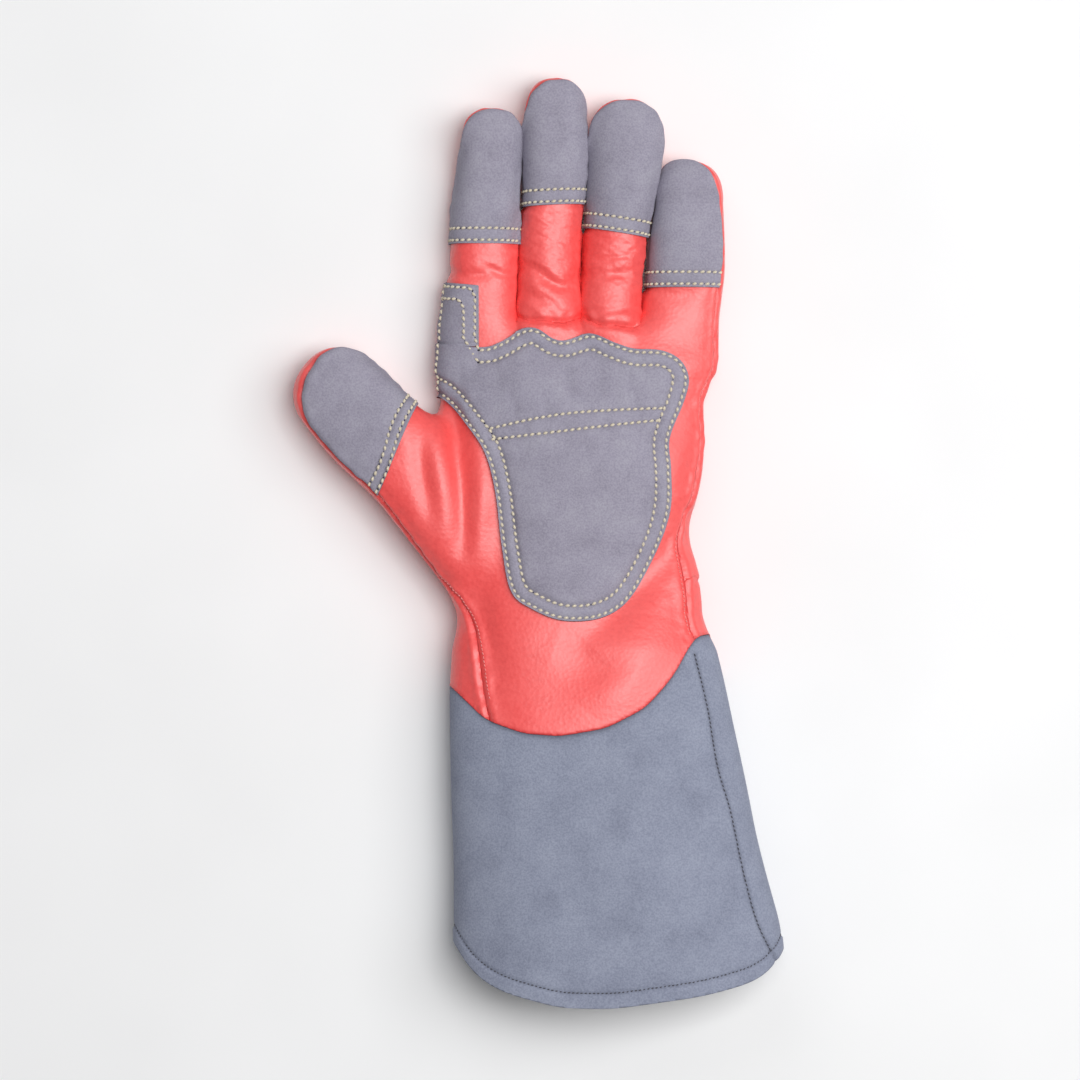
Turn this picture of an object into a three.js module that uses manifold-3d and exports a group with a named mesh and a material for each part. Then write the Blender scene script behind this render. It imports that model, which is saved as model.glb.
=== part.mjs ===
// A left-hand rose pruning gauntlet, lying on its back with the palm up: five-fingered leather
// hand with a gathered wrist, a flared suede cuff, suede fingertip patches and a palm pad.
// Millimetres. +X is the little-finger side, +Y points to the fingertips, +Z is up through the
// palm. The origin is on the surface that the glove lies on, under the middle of the wrist.
import * as THREE from "three";
import { mergeVertices } from "three/addons/utils/BufferGeometryUtils.js";
import Module from "manifold-3d";

const wasm = await Module();
wasm.setup();

// Walls, laps and gaps.
const leatherWall = 1.6;
const suedeWall = 1.8;
const cuffStep = 0.5; // how far the cuff lies under the face of the leather
const hemFold = 1.4; // extra wall where the cuff's edge is folded in
const hemWidth = 7.4;
const patchWall = 1.0;
const padWall = 1.8;
const gap = 0.3; // between any two pieces

// The hand.
const palmWidth = 116.4; // across the knuckles
const palmHeight = 36;
const handLength = 130; // from the origin to the roots of the fingers
const fingersLength = 103; // from the roots to the tip of the middle finger
const fingerHeight = 25;
const knuckleBlend = 17; // how far a finger runs on inside the palm
const fingerSpace = 2 * (patchWall + gap) + gap; // room between two patched fingers
const thumbHeight = 26;
const thumbCap = 19; // its rounded end
const thumbPatchLength = 50; // from the tip to the middle of the patch's lower edge
const thumbPatchSlant = 0.44;

// The cuff.
const cuffLength = 147; // from the origin to the lowest point of the hem
const mouthWidth = 134;
const mouthHeight = 54;
const mouthShift = 15.5; // the mouth's middle, towards the little finger

// The gathers across the back of the wrist, along the seam between the hand and the yoke.
const gatherCount = 9;
const gatherDepth = 3.2;
const gatherReach = 34; // how far the folds run from the seam
// The seam, from the thumb side to the outer side, in shares of palmWidth and handLength.
const gatherSeam = [
  { across: -0.6, along: 0.02 },
  { across: -0.4, along: 0.375 },
  { across: 0.5, along: 0.173 },
];

// How the seams and facets are made.
const roundSides = 4 * gatherCount;
const fingerSides = 12;
const capRings = 2;
const padCorners = 40;
const bodySquareness = 2.25;
const fingerSquareness = 2.2;
const beyond = 260; // larger than the glove

// The hand's outline. along is a share of handLength, left and right are shares of palmWidth, and
// high and squash are shares of palmHeight: the height, and how much the floor flattens it.
const handRows = [
  { along: 1.0, left: -0.41, right: 0.42, high: 0.5, squash: 0.0 },
  { along: 0.965, left: -0.465, right: 0.47, high: 0.66, squash: 0.02 },
  { along: 0.91, left: -0.487, right: 0.492, high: 0.77, squash: 0.03 },
  { along: 0.81, left: -0.485, right: 0.446, high: 0.88, squash: 0.05 },
  { along: 0.76, left: -0.482, right: 0.424, high: 0.92, squash: 0.05 },
  { along: 0.7, left: -0.478, right: 0.449, high: 0.96, squash: 0.06 },
  { along: 0.6, left: -0.475, right: 0.448, high: 1.0, squash: 0.06 },
  { along: 0.47, left: -0.476, right: 0.414, high: 1.02, squash: 0.06 },
  { along: 0.37, left: -0.483, right: 0.383, high: 0.98, squash: 0.04 },
  { along: 0.27, left: -0.496, right: 0.405, high: 0.98, squash: 0.04 },
  { along: 0.16, left: -0.455, right: 0.422, high: 1.01, squash: 0.05 },
  { along: 0.09, left: -0.426, right: 0.43, high: 1.08, squash: 0.06 },
];

// The cuff's outline below the origin. along is a share of cuffLength, wide of mouthWidth, shift
// of mouthShift, high and squash of mouthHeight.
const cuffRows = [
  { along: -0.02, wide: 0.798, shift: 0.1, high: 0.74, squash: 0.03 },
  { along: 0.095, wide: 0.845, shift: 0.19, high: 0.775, squash: 0.04 },
  { along: 0.23, wide: 0.872, shift: 0.33, high: 0.82, squash: 0.05 },
  { along: 0.5, wide: 0.928, shift: 0.62, high: 0.9, squash: 0.06 },
  { along: 0.63, wide: 0.964, shift: 0.805, high: 0.94, squash: 0.06 },
  { along: 0.765, wide: 0.998, shift: 0.98, high: 0.98, squash: 0.06 },
  { along: 0.83, wide: 1.003, shift: 1.03, high: 1.0, squash: 0.06 },
  { along: 1.05, wide: 1.0, shift: 1.07, high: 1.0, squash: 0.06 },
];

// Soft folds and hollows in the palm side: across and wide are shares of palmWidth, along and
// long of handLength, deep of palmHeight; turn is the fold's lean from +Y, in degrees.
const dents = [
  { across: -0.43, along: 0.58, wide: 0.035, long: 0.16, deep: 0.07, turn: 3 },
  { across: -0.345, along: 0.5, wide: 0.03, long: 0.19, deep: -0.04, turn: 3 },
  { across: 0.31, along: 0.3, wide: 0.05, long: 0.16, deep: 0.1, turn: -40 },
  { across: 0.13, along: -0.02, wide: 0.09, long: 0.12, deep: 0.07, turn: -62 },
  { across: 0.0, along: 0.72, wide: 0.2, long: 0.2, deep: 0.05, turn: 0 },
];

// Each finger lies between two of the edge columns below. tip is how far it reaches above the
// roots, cap how long its rounded end is and lower how far its patch's straight edge lies from
// the tip, all as shares of fingersLength. slant is how that edge leans.
const fingers = [
  { name: "index", edges: ["index", "middle"], tip: 0.873, cap: 0.131, lower: 0.538, slant: 0 },
  { name: "middle", edges: ["middle", "ring"], tip: 1.0, cap: 0.15, lower: 0.512, slant: 0.05 },
  { name: "ring", edges: ["ring", "little"], tip: 0.912, cap: 0.146, lower: 0.533, slant: -0.16 },
  { name: "little", edges: ["little", "outside"], tip: 0.664, cap: 0.165, lower: 0.503, slant: 0 },
];

// The lines where the fingers meet, from the roots up. along is a share of fingersLength above
// the roots, and each column is a share of palmWidth.
const edgeRows = [
  { along: 0.0, index: -0.498, middle: -0.222, ring: 0.003, little: 0.208, outside: 0.507 },
  { along: 0.24, index: -0.47, middle: -0.218, ring: 0.005, little: 0.236, outside: 0.525 },
  { along: 0.4, index: -0.458, middle: -0.213, ring: 0.015, little: 0.252, outside: 0.528 },
  { along: 0.52, index: -0.444, middle: -0.207, ring: 0.024, little: 0.268, outside: 0.52 },
  { along: 0.69, index: -0.428, middle: -0.201, ring: 0.032, little: 0.292, outside: 0.5 },
  { along: 0.84, index: -0.418, middle: -0.203, ring: 0.026, little: 0.296, outside: 0.5 },
];

// A finger's rows: at is a share of the way from root to cap, lift and high are shares of
// fingerHeight, slim thins the part that runs on inside the palm, and left and right are where
// its side seams lie round it, in degrees. The seam climbs by rise, a share of half its height.
const fingerRows = [
  { at: -0.2, lift: 0.06, high: 0.78, slim: 0.8, left: 196, right: 22, rise: 0 },
  { at: 0.0, lift: 0.0, high: 0.98, slim: 1, left: 197, right: 21, rise: 0 },
  { at: 0.45, lift: 0.02, high: 1.0, slim: 1, left: 200, right: 18, rise: 0.01 },
  { at: 0.82, lift: 0.09, high: 0.95, slim: 1, left: 197, right: 12, rise: 0.14 },
  { at: 1.0, lift: 0.13, high: 0.86, slim: 0.98, left: 190, right: 6, rise: 0.4 },
];

// The thumb, from its tip to the wrist. x is a share of palmWidth, y of handLength, wide of
// palmWidth, lift and high of thumbHeight; left and right are its side seams, in degrees.
const thumbRows = [
  { x: -0.848, y: 0.78, wide: 0.315, lift: 0.28, high: 0.84, left: 158, right: -8, rise: 0.16 },
  { x: -0.742, y: 0.682, wide: 0.325, lift: 0.26, high: 0.96, left: 149, right: -18, rise: 0 },
  { x: -0.618, y: 0.585, wide: 0.345, lift: 0.18, high: 1.1, left: 149, right: -24, rise: 0 },
  { x: -0.515, y: 0.487, wide: 0.36, lift: 0.08, high: 1.24, left: 150, right: -30, rise: 0 },
  { x: -0.435, y: 0.385, wide: 0.33, lift: 0.05, high: 1.22, left: 154, right: -30, rise: 0 },
  { x: -0.375, y: 0.275, wide: 0.2, lift: 0.12, high: 0.95, left: 158, right: -20, rise: 0 },
];

// Where the seams lie round the hand, in degrees: thumbSide and outside bound the palm leather,
// and inner bounds the thumb's own back piece. along is a share of handLength.
const seamRows = [
  { along: 1.1, thumbSide: 197, outside: 24 },
  { along: 0.8, thumbSide: 197, outside: 26 },
  { along: 0.75, thumbSide: 186, outside: 27, inner: 188 },
  { along: 0.6, thumbSide: 178, outside: 27, inner: 212 },
  { along: 0.37, thumbSide: 172, outside: 26, inner: 224 },
  { along: 0.22, thumbSide: 165, outside: 28, inner: 208 },
  { along: 0.1, thumbSide: 153, outside: 30, inner: 190 },
  { along: 0.0, thumbSide: 142, outside: 31, inner: 184 },
  { along: -0.12, thumbSide: 138, outside: 31, inner: 184 },
  { along: -0.4, thumbSide: 128, outside: 32, inner: 182 },
];

// The lower edge of the leather on the palm side and on the back, and the hem: across and along
// are shares of mouthWidth and cuffLength.
const palmEdge = [
  { across: -0.5, along: 0.03 },
  { across: -0.39, along: 0.12 },
  { across: -0.29, along: 0.205 },
  { across: -0.17, along: 0.243 },
  { across: -0.06, along: 0.25 },
  { across: 0.08, along: 0.228 },
  { across: 0.2, along: 0.172 },
  { across: 0.29, along: 0.08 },
  { across: 0.35, along: -0.028 },
  { across: 0.5, along: -0.035 },
];
const backEdge = [
  { across: -0.5, along: 0.0 },
  { across: -0.39, along: 0.02 },
  { across: -0.3, along: 0.065 },
  { across: -0.2, along: 0.12 },
  { across: -0.08, along: 0.19 },
  { across: 0.08, along: 0.226 },
  { across: 0.24, along: 0.2 },
  { across: 0.34, along: 0.15 },
  { across: 0.4, along: 0.07 },
  { across: 0.5, along: 0.0 },
];
const hemEdge = [
  { across: -0.42, along: 0.74 },
  { across: -0.386, along: 0.82 },
  { across: -0.367, along: 0.865 },
  { across: -0.325, along: 0.91 },
  { across: -0.24, along: 0.955 },
  { across: -0.06, along: 0.998 },
  { across: 0.1, along: 1.0 },
  { across: 0.37, along: 0.966 },
  { across: 0.52, along: 0.932 },
  { across: 0.6, along: 0.892 },
  { across: 0.632, along: 0.83 },
  { across: 0.66, along: 0.74 },
];
// Over these shares of palmHeight the lower edge changes from the back's curve to the palm's.
const edgeBlend = [0.12, 0.5];

// The seams across the roots of the middle and ring fingers: from is a share of fingersLength
// above the roots, and slant is how the seam leans.
const rootSeams = {
  middle: { from: 0.023, slant: -0.03 },
  ring: { from: 0.006, slant: -0.16 },
};

// The palm pad. across and along are shares of padWidth and padLength, from the pad's centre.
const padWidth = 101.4;
const padLength = 119.8;
const padCentreX = -6.8;
const padCentreY = 69.6;
const padOutline = [
  { across: -0.34, along: 0.436 },
  { across: -0.26, along: 0.45 },
  { across: -0.17, along: 0.49 },
  { across: -0.105, along: 0.498 },
  { across: -0.04, along: 0.464 },
  { across: 0.01, along: 0.458 },
  { across: 0.115, along: 0.48 },
  { across: 0.21, along: 0.448 },
  { across: 0.29, along: 0.424 },
  { across: 0.4, along: 0.42 },
  { across: 0.47, along: 0.388 },
  { across: 0.499, along: 0.33 },
  { across: 0.478, along: 0.24 },
  { across: 0.427, along: 0.12 },
  { across: 0.43, along: 0.02 },
  { across: 0.424, along: -0.12 },
  { across: 0.37, along: -0.27 },
  { across: 0.27, along: -0.42 },
  { across: 0.15, along: -0.487 },
  { across: 0.0, along: -0.498 },
  { across: -0.12, along: -0.46 },
  { across: -0.205, along: -0.4 },
  { across: -0.245, along: -0.25 },
  { across: -0.27, along: -0.07 },
  { across: -0.31, along: 0.07 },
  { across: -0.38, along: 0.165 },
  { across: -0.47, along: 0.255 },
  { across: -0.53, along: 0.33 },
  { across: -0.54, along: 0.45 },
];
const tabWidth = 16.4;
const tabLength = 25;
const tabTilt = 1.6; // the tab's top edge drops by this much towards the pad

// Colours.
const leatherColour = new THREE.Color(0.86, 0.1, 0.09);
const suedeColour = new THREE.Color(0.3, 0.3, 0.34);
const cuffColour = new THREE.Color(0.25, 0.28, 0.34);

const degrees = (angle) => (angle * Math.PI) / 180;
const mix = (a, b, t) => a + (b - a) * t;
const smooth = (t) => {
  const s = Math.min(1, Math.max(0, t));
  return s * s * (3 - 2 * s);
};
const bell = (t) => Math.exp(-t * t);

// A value read from a table of rows at a place, along straight lines between its rows.
function readRows(rows, key, place, value) {
  const up = [...rows].sort((p, q) => p[key] - q[key]);
  const next = up.findIndex((row) => row[key] >= place);
  if (next === 0) return up[0][value];
  if (next < 0) return up[up.length - 1][value];
  const [low, high] = [up[next - 1], up[next]];
  return mix(low[value], high[value], (place - low[key]) / (high[key] - low[key]));
}

// Where the gathering seam lies along the glove, at a place across it.
function gathersAt(x) {
  return handLength * readRows(gatherSeam, "across", x / palmWidth, "along");
}

// The gathers and dents move a point of the hand's skin: the back rises in folds at the seam, and
// the palm sinks or swells where a dent lies.
function foldedHeight(x, y, z, middle, corner) {
  if (z < middle) {
    const fromSeam = y - gathersAt(x);
    const reach = fromSeam > 0 ? gatherReach : gatherReach * 0.7;
    const pull = bell((fromSeam / reach) * 2);
    return z + gatherDepth * pull * (corner % 2 ? 1 : 0.08);
  }
  let height = z;
  for (const dent of dents) {
    const turn = degrees(dent.turn);
    const dx = x - dent.across * palmWidth;
    const dy = y - dent.along * handLength;
    const side = (dx * Math.cos(turn) + dy * Math.sin(turn)) / (dent.wide * palmWidth);
    const way = (dy * Math.cos(turn) - dx * Math.sin(turn)) / (dent.long * handLength);
    height -= dent.deep * palmHeight * bell(side) * bell(way);
  }
  return height;
}

// A point on a rounded section, at an angle: a superellipse of half-width a and half-height b.
function skinPoint(a, b, squareness, angle) {
  const [c, s] = [Math.cos(angle), Math.sin(angle)];
  const power = 2 / squareness;
  return [a * Math.sign(c) * Math.abs(c) ** power, b * Math.sign(s) * Math.abs(s) ** power];
}

// Corners spaced evenly round a section.
function evenSection(a, b, squareness, corners) {
  const steps = 240;
  const fine = [];
  const lengths = [0];
  for (let i = 0; i <= steps; i++) {
    fine.push(skinPoint(a, b, squareness, (i / steps) * 2 * Math.PI));
    if (i) {
      const run = Math.hypot(fine[i][0] - fine[i - 1][0], fine[i][1] - fine[i - 1][1]);
      lengths.push(lengths[i - 1] + run);
    }
  }
  const points = [];
  let i = 0;
  for (let k = 0; k < corners; k++) {
    const wanted = (k / corners) * lengths[steps];
    while (lengths[i + 1] < wanted) i++;
    const t = (wanted - lengths[i]) / (lengths[i + 1] - lengths[i]);
    points.push([mix(fine[i][0], fine[i + 1][0], t), mix(fine[i][1], fine[i + 1][1], t)]);
  }
  return points;
}

// A closed solid through rings of points, each ring running the same way round.
function skinned(rings) {
  const count = rings[0].length;
  const vertices = rings.flat();
  const faces = [];
  for (let r = 0; r + 1 < rings.length; r++)
    for (let k = 0; k < count; k++) {
      const [a, b] = [r * count + k, r * count + ((k + 1) % count)];
      faces.push(a, b, b + count, a, b + count, a + count);
    }
  for (const [ring, start] of [[rings[0], 0], [rings.at(-1), (rings.length - 1) * count]]) {
    const middle = [0, 1, 2].map((i) => ring.reduce((sum, p) => sum + p[i], 0) / count);
    const centre = vertices.push(middle) - 1;
    for (let k = 0; k < count; k++) {
      const [a, b] = [start + k, start + ((k + 1) % count)];
      faces.push(...(start ? [centre, a, b] : [centre, b, a]));
    }
  }
  return solid(vertices, faces);
}

// Vertices and faces as a manifold solid that faces outwards.
function solid(vertices, faces) {
  const geometry = new THREE.BufferGeometry();
  geometry.setAttribute("position", new THREE.Float32BufferAttribute(vertices.flat(), 3));
  geometry.setIndex(faces);
  const merged = mergeVertices(geometry, 1e-4);
  const make = (triVerts) => {
    const vertProperties = merged.attributes.position.array;
    return new wasm.Manifold(new wasm.Mesh({ numProp: 3, vertProperties, triVerts }));
  };
  const index = Array.from(merged.index.array);
  const kept = [];
  for (let i = 0; i < index.length; i += 3) {
    const [a, b, c] = index.slice(i, i + 3);
    if (a !== b && b !== c && a !== c) kept.push(a, b, c);
  }
  const made = make(new Uint32Array(kept));
  return made.volume() > 0 ? made : make(new Uint32Array(kept.reverse()));
}

// The hand and cuff as one run of sections, each with its place, middle, half-sizes and squash.
function bodySections() {
  const hand = handRows.map((row) => ({
    y: row.along * handLength,
    x: ((row.left + row.right) / 2) * palmWidth,
    a: ((row.right - row.left) / 2) * palmWidth,
    b: (row.high * palmHeight) / 2,
    squash: row.squash * palmHeight,
  }));
  const cuff = cuffRows.map((row) => ({
    y: -row.along * cuffLength,
    x: row.shift * mouthShift,
    a: (row.wide * mouthWidth) / 2,
    b: (row.high * mouthHeight) / 2,
    squash: row.squash * mouthHeight,
  }));
  return [...hand, ...cuff];
}

// The section at any place along the glove.
function sectionAt(y) {
  const rows = bodySections();
  const read = (value) => readRows(rows, "y", y, value);
  return { y, x: read("x"), a: read("a"), b: read("b"), squash: read("squash") };
}

// The sleeve of hand and cuff, moved outwards by offset, over the sections that are asked for.
function body(offset, keep, floor = Math.max(0, -offset)) {
  const rows = bodySections().filter((row) => keep(row.y));
  const rings = rows.map((row) => {
    const middle = row.b - row.squash;
    const end = row.y >= handLength ? row.y + offset : row.y;
    return evenSection(row.a + offset, row.b + offset, bodySquareness, roundSides).map(
      ([u, w], corner) => {
        const z = foldedHeight(row.x + u, row.y, middle + w, middle, corner);
        return [row.x + u, end, Math.max(floor, z)];
      },
    );
  });
  return skinned(rings);
}

// The rows of one finger, as stations with a middle, a direction across and half-sizes.
function fingerStations(finger) {
  const end = (finger.tip - finger.cap) * fingersLength;
  return fingerRows.map((row) => {
    const rise = Math.max(row.at * end, -knuckleBlend);
    const [left, right] = finger.edges.map(
      (edge) => palmWidth * readRows(edgeRows, "along", rise / fingersLength, edge),
    );
    const b = (row.high * fingerHeight) / 2;
    return {
      x: (left + right) / 2,
      y: handLength + rise,
      z: b + (row.lift - 0.03) * fingerHeight,
      across: [1, 0],
      a: (row.slim * (right - left - fingerSpace)) / 2,
      b,
      left: row.left,
      right: row.right,
      rise: row.rise,
    };
  });
}

// The thumb's rows as stations, from the wrist to the tip.
function thumbStations() {
  const rows = [...thumbRows].reverse();
  const places = rows.map((row) => [row.x * palmWidth, row.y * handLength]);
  return rows.map((row, i) => {
    const [from, to] = [places[Math.max(0, i - 1)], places[Math.min(rows.length - 1, i + 1)]];
    const along = [to[0] - from[0], to[1] - from[1]];
    const size = Math.hypot(...along);
    const b = (row.high * thumbHeight) / 2;
    return {
      x: places[i][0],
      y: places[i][1],
      z: b + row.lift * thumbHeight - 0.6,
      across: [along[1] / size, -along[0] / size],
      a: (row.wide * palmWidth) / 2,
      b,
      left: row.left,
      right: row.right,
      rise: row.rise,
    };
  });
}

// A tube with a domed tip through stations, moved outwards by offset.
function digit(stations, cap, offset, fromPlace = 0) {
  const floor = Math.max(0, -offset);
  const last = stations.at(-1);
  const tip = [-last.across[1], last.across[0]];
  const domed = [...stations.slice(fromPlace)];
  for (let i = 1; i <= capRings; i++) {
    const turn = (i / (capRings + 0.12)) * (Math.PI / 2);
    const out = (cap + offset) * Math.sin(turn);
    const shrink = Math.cos(turn);
    domed.push({
      ...last,
      x: last.x + tip[0] * out,
      y: last.y + tip[1] * out,
      shrink,
    });
  }
  const rings = domed.map((row) => {
    const size = row.shrink ?? 1;
    const [a, b] = [(row.a + offset) * size, (row.b + offset) * size];
    return evenSection(a, b, fingerSquareness, fingerSides).map(([u, w]) => [
      row.x + row.across[0] * u,
      row.y + row.across[1] * u,
      Math.max(floor, row.z + w),
    ]);
  });
  return skinned(rings);
}

// All that is above a digit's side seams: a slanted floor that climbs towards the tip, as wide as
// the digit and half the gap beside it. grow lowers and widens it.
function aboveSeam(stations, cap, grow) {
  const last = stations.at(-1);
  const tip = [-last.across[1], last.across[0]];
  const over = 1.6 * cap;
  const rows = [
    ...stations,
    { ...last, x: last.x + tip[0] * over, y: last.y + tip[1] * over, rise: last.rise + 0.75 },
  ];
  const rings = rows.map((row) => {
    const wide = row.a + patchWall + gap + grow;
    const apex = row.z + row.rise * row.b - grow;
    const heights = [row.left, row.right].map((angle) => {
      const [u, w] = skinPoint(row.a, row.b, fingerSquareness, degrees(angle));
      return apex + (w / Math.abs(u)) * wide;
    });
    const place = (u, z) => [row.x + row.across[0] * u, row.y + row.across[1] * u, z];
    return [place(-wide, heights[0]), place(wide, heights[1]), place(wide, beyond), place(-wide, beyond)];
  });
  return skinned(rings);
}

// The hand's palm side: all that is above the seams on its two sides.
function abovePalmSeam(grow) {
  const rings = seamRows.map((row) => {
    const section = sectionAt(row.along * handLength);
    const middle = section.b - section.squash;
    const reach = 1.15;
    const ends = [row.thumbSide, row.outside].map((angle) =>
      skinPoint(section.a, section.b, bodySquareness, degrees(angle)),
    );
    const drop = grow * Math.max(...ends.map(([u, w]) => Math.hypot(u, w) / Math.abs(u)));
    const rays = ends.map(([u, w]) => [
      section.x + reach * u + Math.sign(u) * grow,
      middle + reach * w - drop,
    ]);
    const y = row.along * handLength;
    return [
      [section.x, y, middle - drop],
      [rays[1][0], y, rays[1][1]],
      [rays[1][0], y, beyond],
      [rays[0][0], y, beyond],
      [rays[0][0], y, rays[0][1]],
    ];
  });
  return skinned(rings);
}

// The hand's own back, as opposed to the thumb's back piece, which lies beyond the inner seam.
function backOfHand(grow) {
  const rows = seamRows.filter((row) => row.inner);
  const ring = (y, edge, height, section) => [
    [edge - grow, y, -beyond],
    [edge - grow, y, height + grow],
    [section.x - grow, y, section.b + grow],
    [section.x - grow, y, beyond],
    [beyond, y, beyond],
    [beyond, y, -beyond],
  ];
  const rings = rows.map((row) => {
    const section = sectionAt(row.along * handLength);
    const [u, w] = skinPoint(section.a, section.b, bodySquareness, degrees(row.inner));
    return ring(row.along * handLength, section.x + u, section.b - section.squash + w, section);
  });
  const beside = skinned(rings);
  const top = rows[0].along * handLength - gap / 2 - grow;
  return beside.add(block([rings[0][0][0], top, -beyond], [beyond, beyond, beyond]));
}

// A block between two corners.
function block(low, high) {
  const size = high.map((value, i) => value - low[i]);
  const geometry = new THREE.BoxGeometry(...size);
  geometry.translate(...low.map((value, i) => value + size[i] / 2));
  return fromGeometry(geometry);
}

// A three.js geometry as a solid.
function fromGeometry(geometry) {
  const flat = geometry.index ? geometry.toNonIndexed() : geometry;
  const position = flat.attributes.position;
  const vertices = [];
  for (let i = 0; i < position.count; i++)
    vertices.push([position.getX(i), position.getY(i), position.getZ(i)]);
  return solid(vertices, vertices.map((_, i) => i));
}

// The leather's lower edge at a place, changing from the back's curve to the palm's with height.
function leatherEdge(x, z) {
  const read = (rows) => -cuffLength * readRows(rows, "across", x / mouthWidth, "along");
  const [low, high] = edgeBlend.map((share) => share * palmHeight);
  return mix(read(backEdge), read(palmEdge), smooth((z - low) / (high - low)));
}

// All that lies below a wavy edge, which is given as a place along the glove for each x and z.
function belowEdge(edge, columns) {
  const heights = [-beyond, 0.12, 0.24, 0.38, 0.5, 3].map((share) => share * palmHeight);
  const places = [-beyond, ...columns, beyond];
  const rings = places.map((x) => [
    ...heights.map((z) => [x, edge(x, z), z]),
    [x, -beyond, heights.at(-1)],
    [x, -beyond, heights[0]],
  ]);
  return skinned(rings);
}

// Places across the glove where an edge table has a row.
function columnsOf(table, width = mouthWidth) {
  return table.map((row) => row.across * width);
}

// A plan outline extruded upwards from a height.
function prism(points, low = palmHeight / 2) {
  const shape = new THREE.Shape(points);
  const geometry = new THREE.ExtrudeGeometry(shape, { depth: beyond, bevelEnabled: false });
  geometry.translate(0, 0, low);
  return fromGeometry(geometry);
}

// All that lies beyond a slanted line across a digit. along is the line's distance beyond a
// station, and slant is how far the line leads for each unit across.
function beyondLine(station, along, slant) {
  const side = beyond / 10;
  const tip = [-station.across[1], station.across[0]];
  const place = (u, v) =>
    new THREE.Vector2(
      station.x + station.across[0] * u + tip[0] * v,
      station.y + station.across[1] * u + tip[1] * v,
    );
  const outline = [
    place(-side, along - slant * side),
    place(side, along + slant * side),
    place(side, beyond / 2),
    place(-side, beyond / 2),
  ];
  return prism(outline, -beyond / 2);
}

// The palm pad's smooth outline.
function padShape() {
  const points = padOutline.map(
    (row) =>
      new THREE.Vector3(
        padCentreX + row.across * padWidth,
        padCentreY + row.along * padLength,
        0,
      ),
  );
  const curve = new THREE.CatmullRomCurve3(points, true, "centripetal");
  const fine = curve.getSpacedPoints(padCorners).slice(0, -1);
  return fine.map((p) => new THREE.Vector2(p.x, p.y));
}

// The tab on the root of the index finger, which meets the pad's upper corner.
function tabShape(grow) {
  const right = padCentreX + padOutline[0].across * padWidth;
  const low = padCentreY + padOutline[0].along * padLength + gap;
  const outer = right - 3 * tabWidth;
  const high = low + tabLength + (tabTilt * (right - outer)) / tabWidth;
  return [
    [outer, low - grow],
    [right + grow, low - grow],
    [right + grow, low + tabLength + grow],
    [outer, high + grow],
  ].map(([x, y]) => new THREE.Vector2(x, y));
}

// A solid as a named mesh.
function piece(name, made, colour, roughness) {
  const mesh = made.getMesh();
  const geometry = new THREE.BufferGeometry();
  const positions = new Float32Array(mesh.numVert * 3);
  for (let i = 0; i < mesh.numVert; i++)
    positions.set(mesh.vertProperties.subarray(i * mesh.numProp, i * mesh.numProp + 3), i * 3);
  geometry.setAttribute("position", new THREE.BufferAttribute(positions, 3));
  geometry.setIndex(new THREE.BufferAttribute(mesh.triVerts, 1));
  const material = new THREE.MeshStandardMaterial({ color: colour, roughness, metalness: 0 });
  const result = new THREE.Mesh(geometry, material);
  result.name = name;
  return result;
}

// The largest body of a solid: a cut may leave crumbs at the ends of a seam.
function largest(made) {
  const bodies = made.decompose();
  return bodies.reduce((most, next) => (next.volume() > most.volume() ? next : most));
}

const union = (solids) => solids.reduce((sum, next) => sum.add(next));

const digits = fingers.map((finger) => ({
  name: finger.name,
  stations: fingerStations(finger),
  cap: finger.cap * fingersLength,
  lower: finger.lower * fingersLength,
  slant: finger.slant,
}));
digits.push({
  name: "thumb",
  stations: thumbStations(),
  cap: thumbCap,
  lower: thumbPatchLength,
  slant: thumbPatchSlant,
});
const inHand = (y) => y > -0.34 * cuffLength;
const inCuff = (y) => y < 0.2 * handLength;

// The whole glove's form without its cuff, moved outwards by offset.
function handForm(offset) {
  return union([body(offset, inHand), ...digits.map((d) => digit(d.stations, d.cap, offset))]);
}

const leatherSkin = handForm(0).subtract(handForm(-leatherWall));
const edgeColumns = columnsOf(palmEdge);
const leather = leatherSkin.subtract(belowEdge((x, z) => leatherEdge(x, z) + gap, edgeColumns));
const palmSide = (grow) =>
  union([abovePalmSeam(grow), ...digits.map((d) => aboveSeam(d.stations, d.cap, grow))]);

// The palm leather, and the separate fronts of the middle and ring fingers.
const upper = leather.intersect(palmSide(0));
const lower = leather.subtract(palmSide(gap));
const fingerFronts = Object.entries(rootSeams).map(([name, seam]) => {
  const { stations, cap } = digits.find((d) => d.name === name);
  const around = digit(stations, cap, fingerSpace / 2);
  const cut = (grow) =>
    beyondLine(stations[1], seam.from * fingersLength - grow, seam.slant).intersect(around);
  return { name, front: upper.intersect(cut(0)), cut: cut(gap) };
});
const palm = fingerFronts.reduce((rest, { cut }) => rest.subtract(cut), upper);

// The back: a yoke at the wrist, and the hand's back and thumb that are gathered onto it.
const belowGathers = (grow) => belowEdge((x) => gathersAt(x) + grow, columnsOf(gatherSeam, palmWidth));
const yoke = lower.intersect(belowGathers(0));
const gathered = lower.subtract(belowGathers(gap));

// The patches over the fingertips.
const patches = digits.map((d) => {
  const last = d.stations.at(-1);
  const over = digit(d.stations, d.cap, gap + patchWall, 1);
  const under = digit(d.stations, d.cap, gap, 1);
  const made = over.subtract(under).intersect(aboveSeam(d.stations, d.cap, 0));
  return { name: d.name, made: made.intersect(beyondLine(last, d.cap - d.lower, d.slant)) };
});

// The palm pad and the tab above it, both over the leather.
const underPad = handForm(gap);
const tab = handForm(gap + patchWall).subtract(underPad).intersect(prism(tabShape(0)));
const pad = handForm(gap + padWall)
  .subtract(underPad)
  .intersect(prism(padShape()))
  .subtract(prism(tabShape(gap)));

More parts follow.
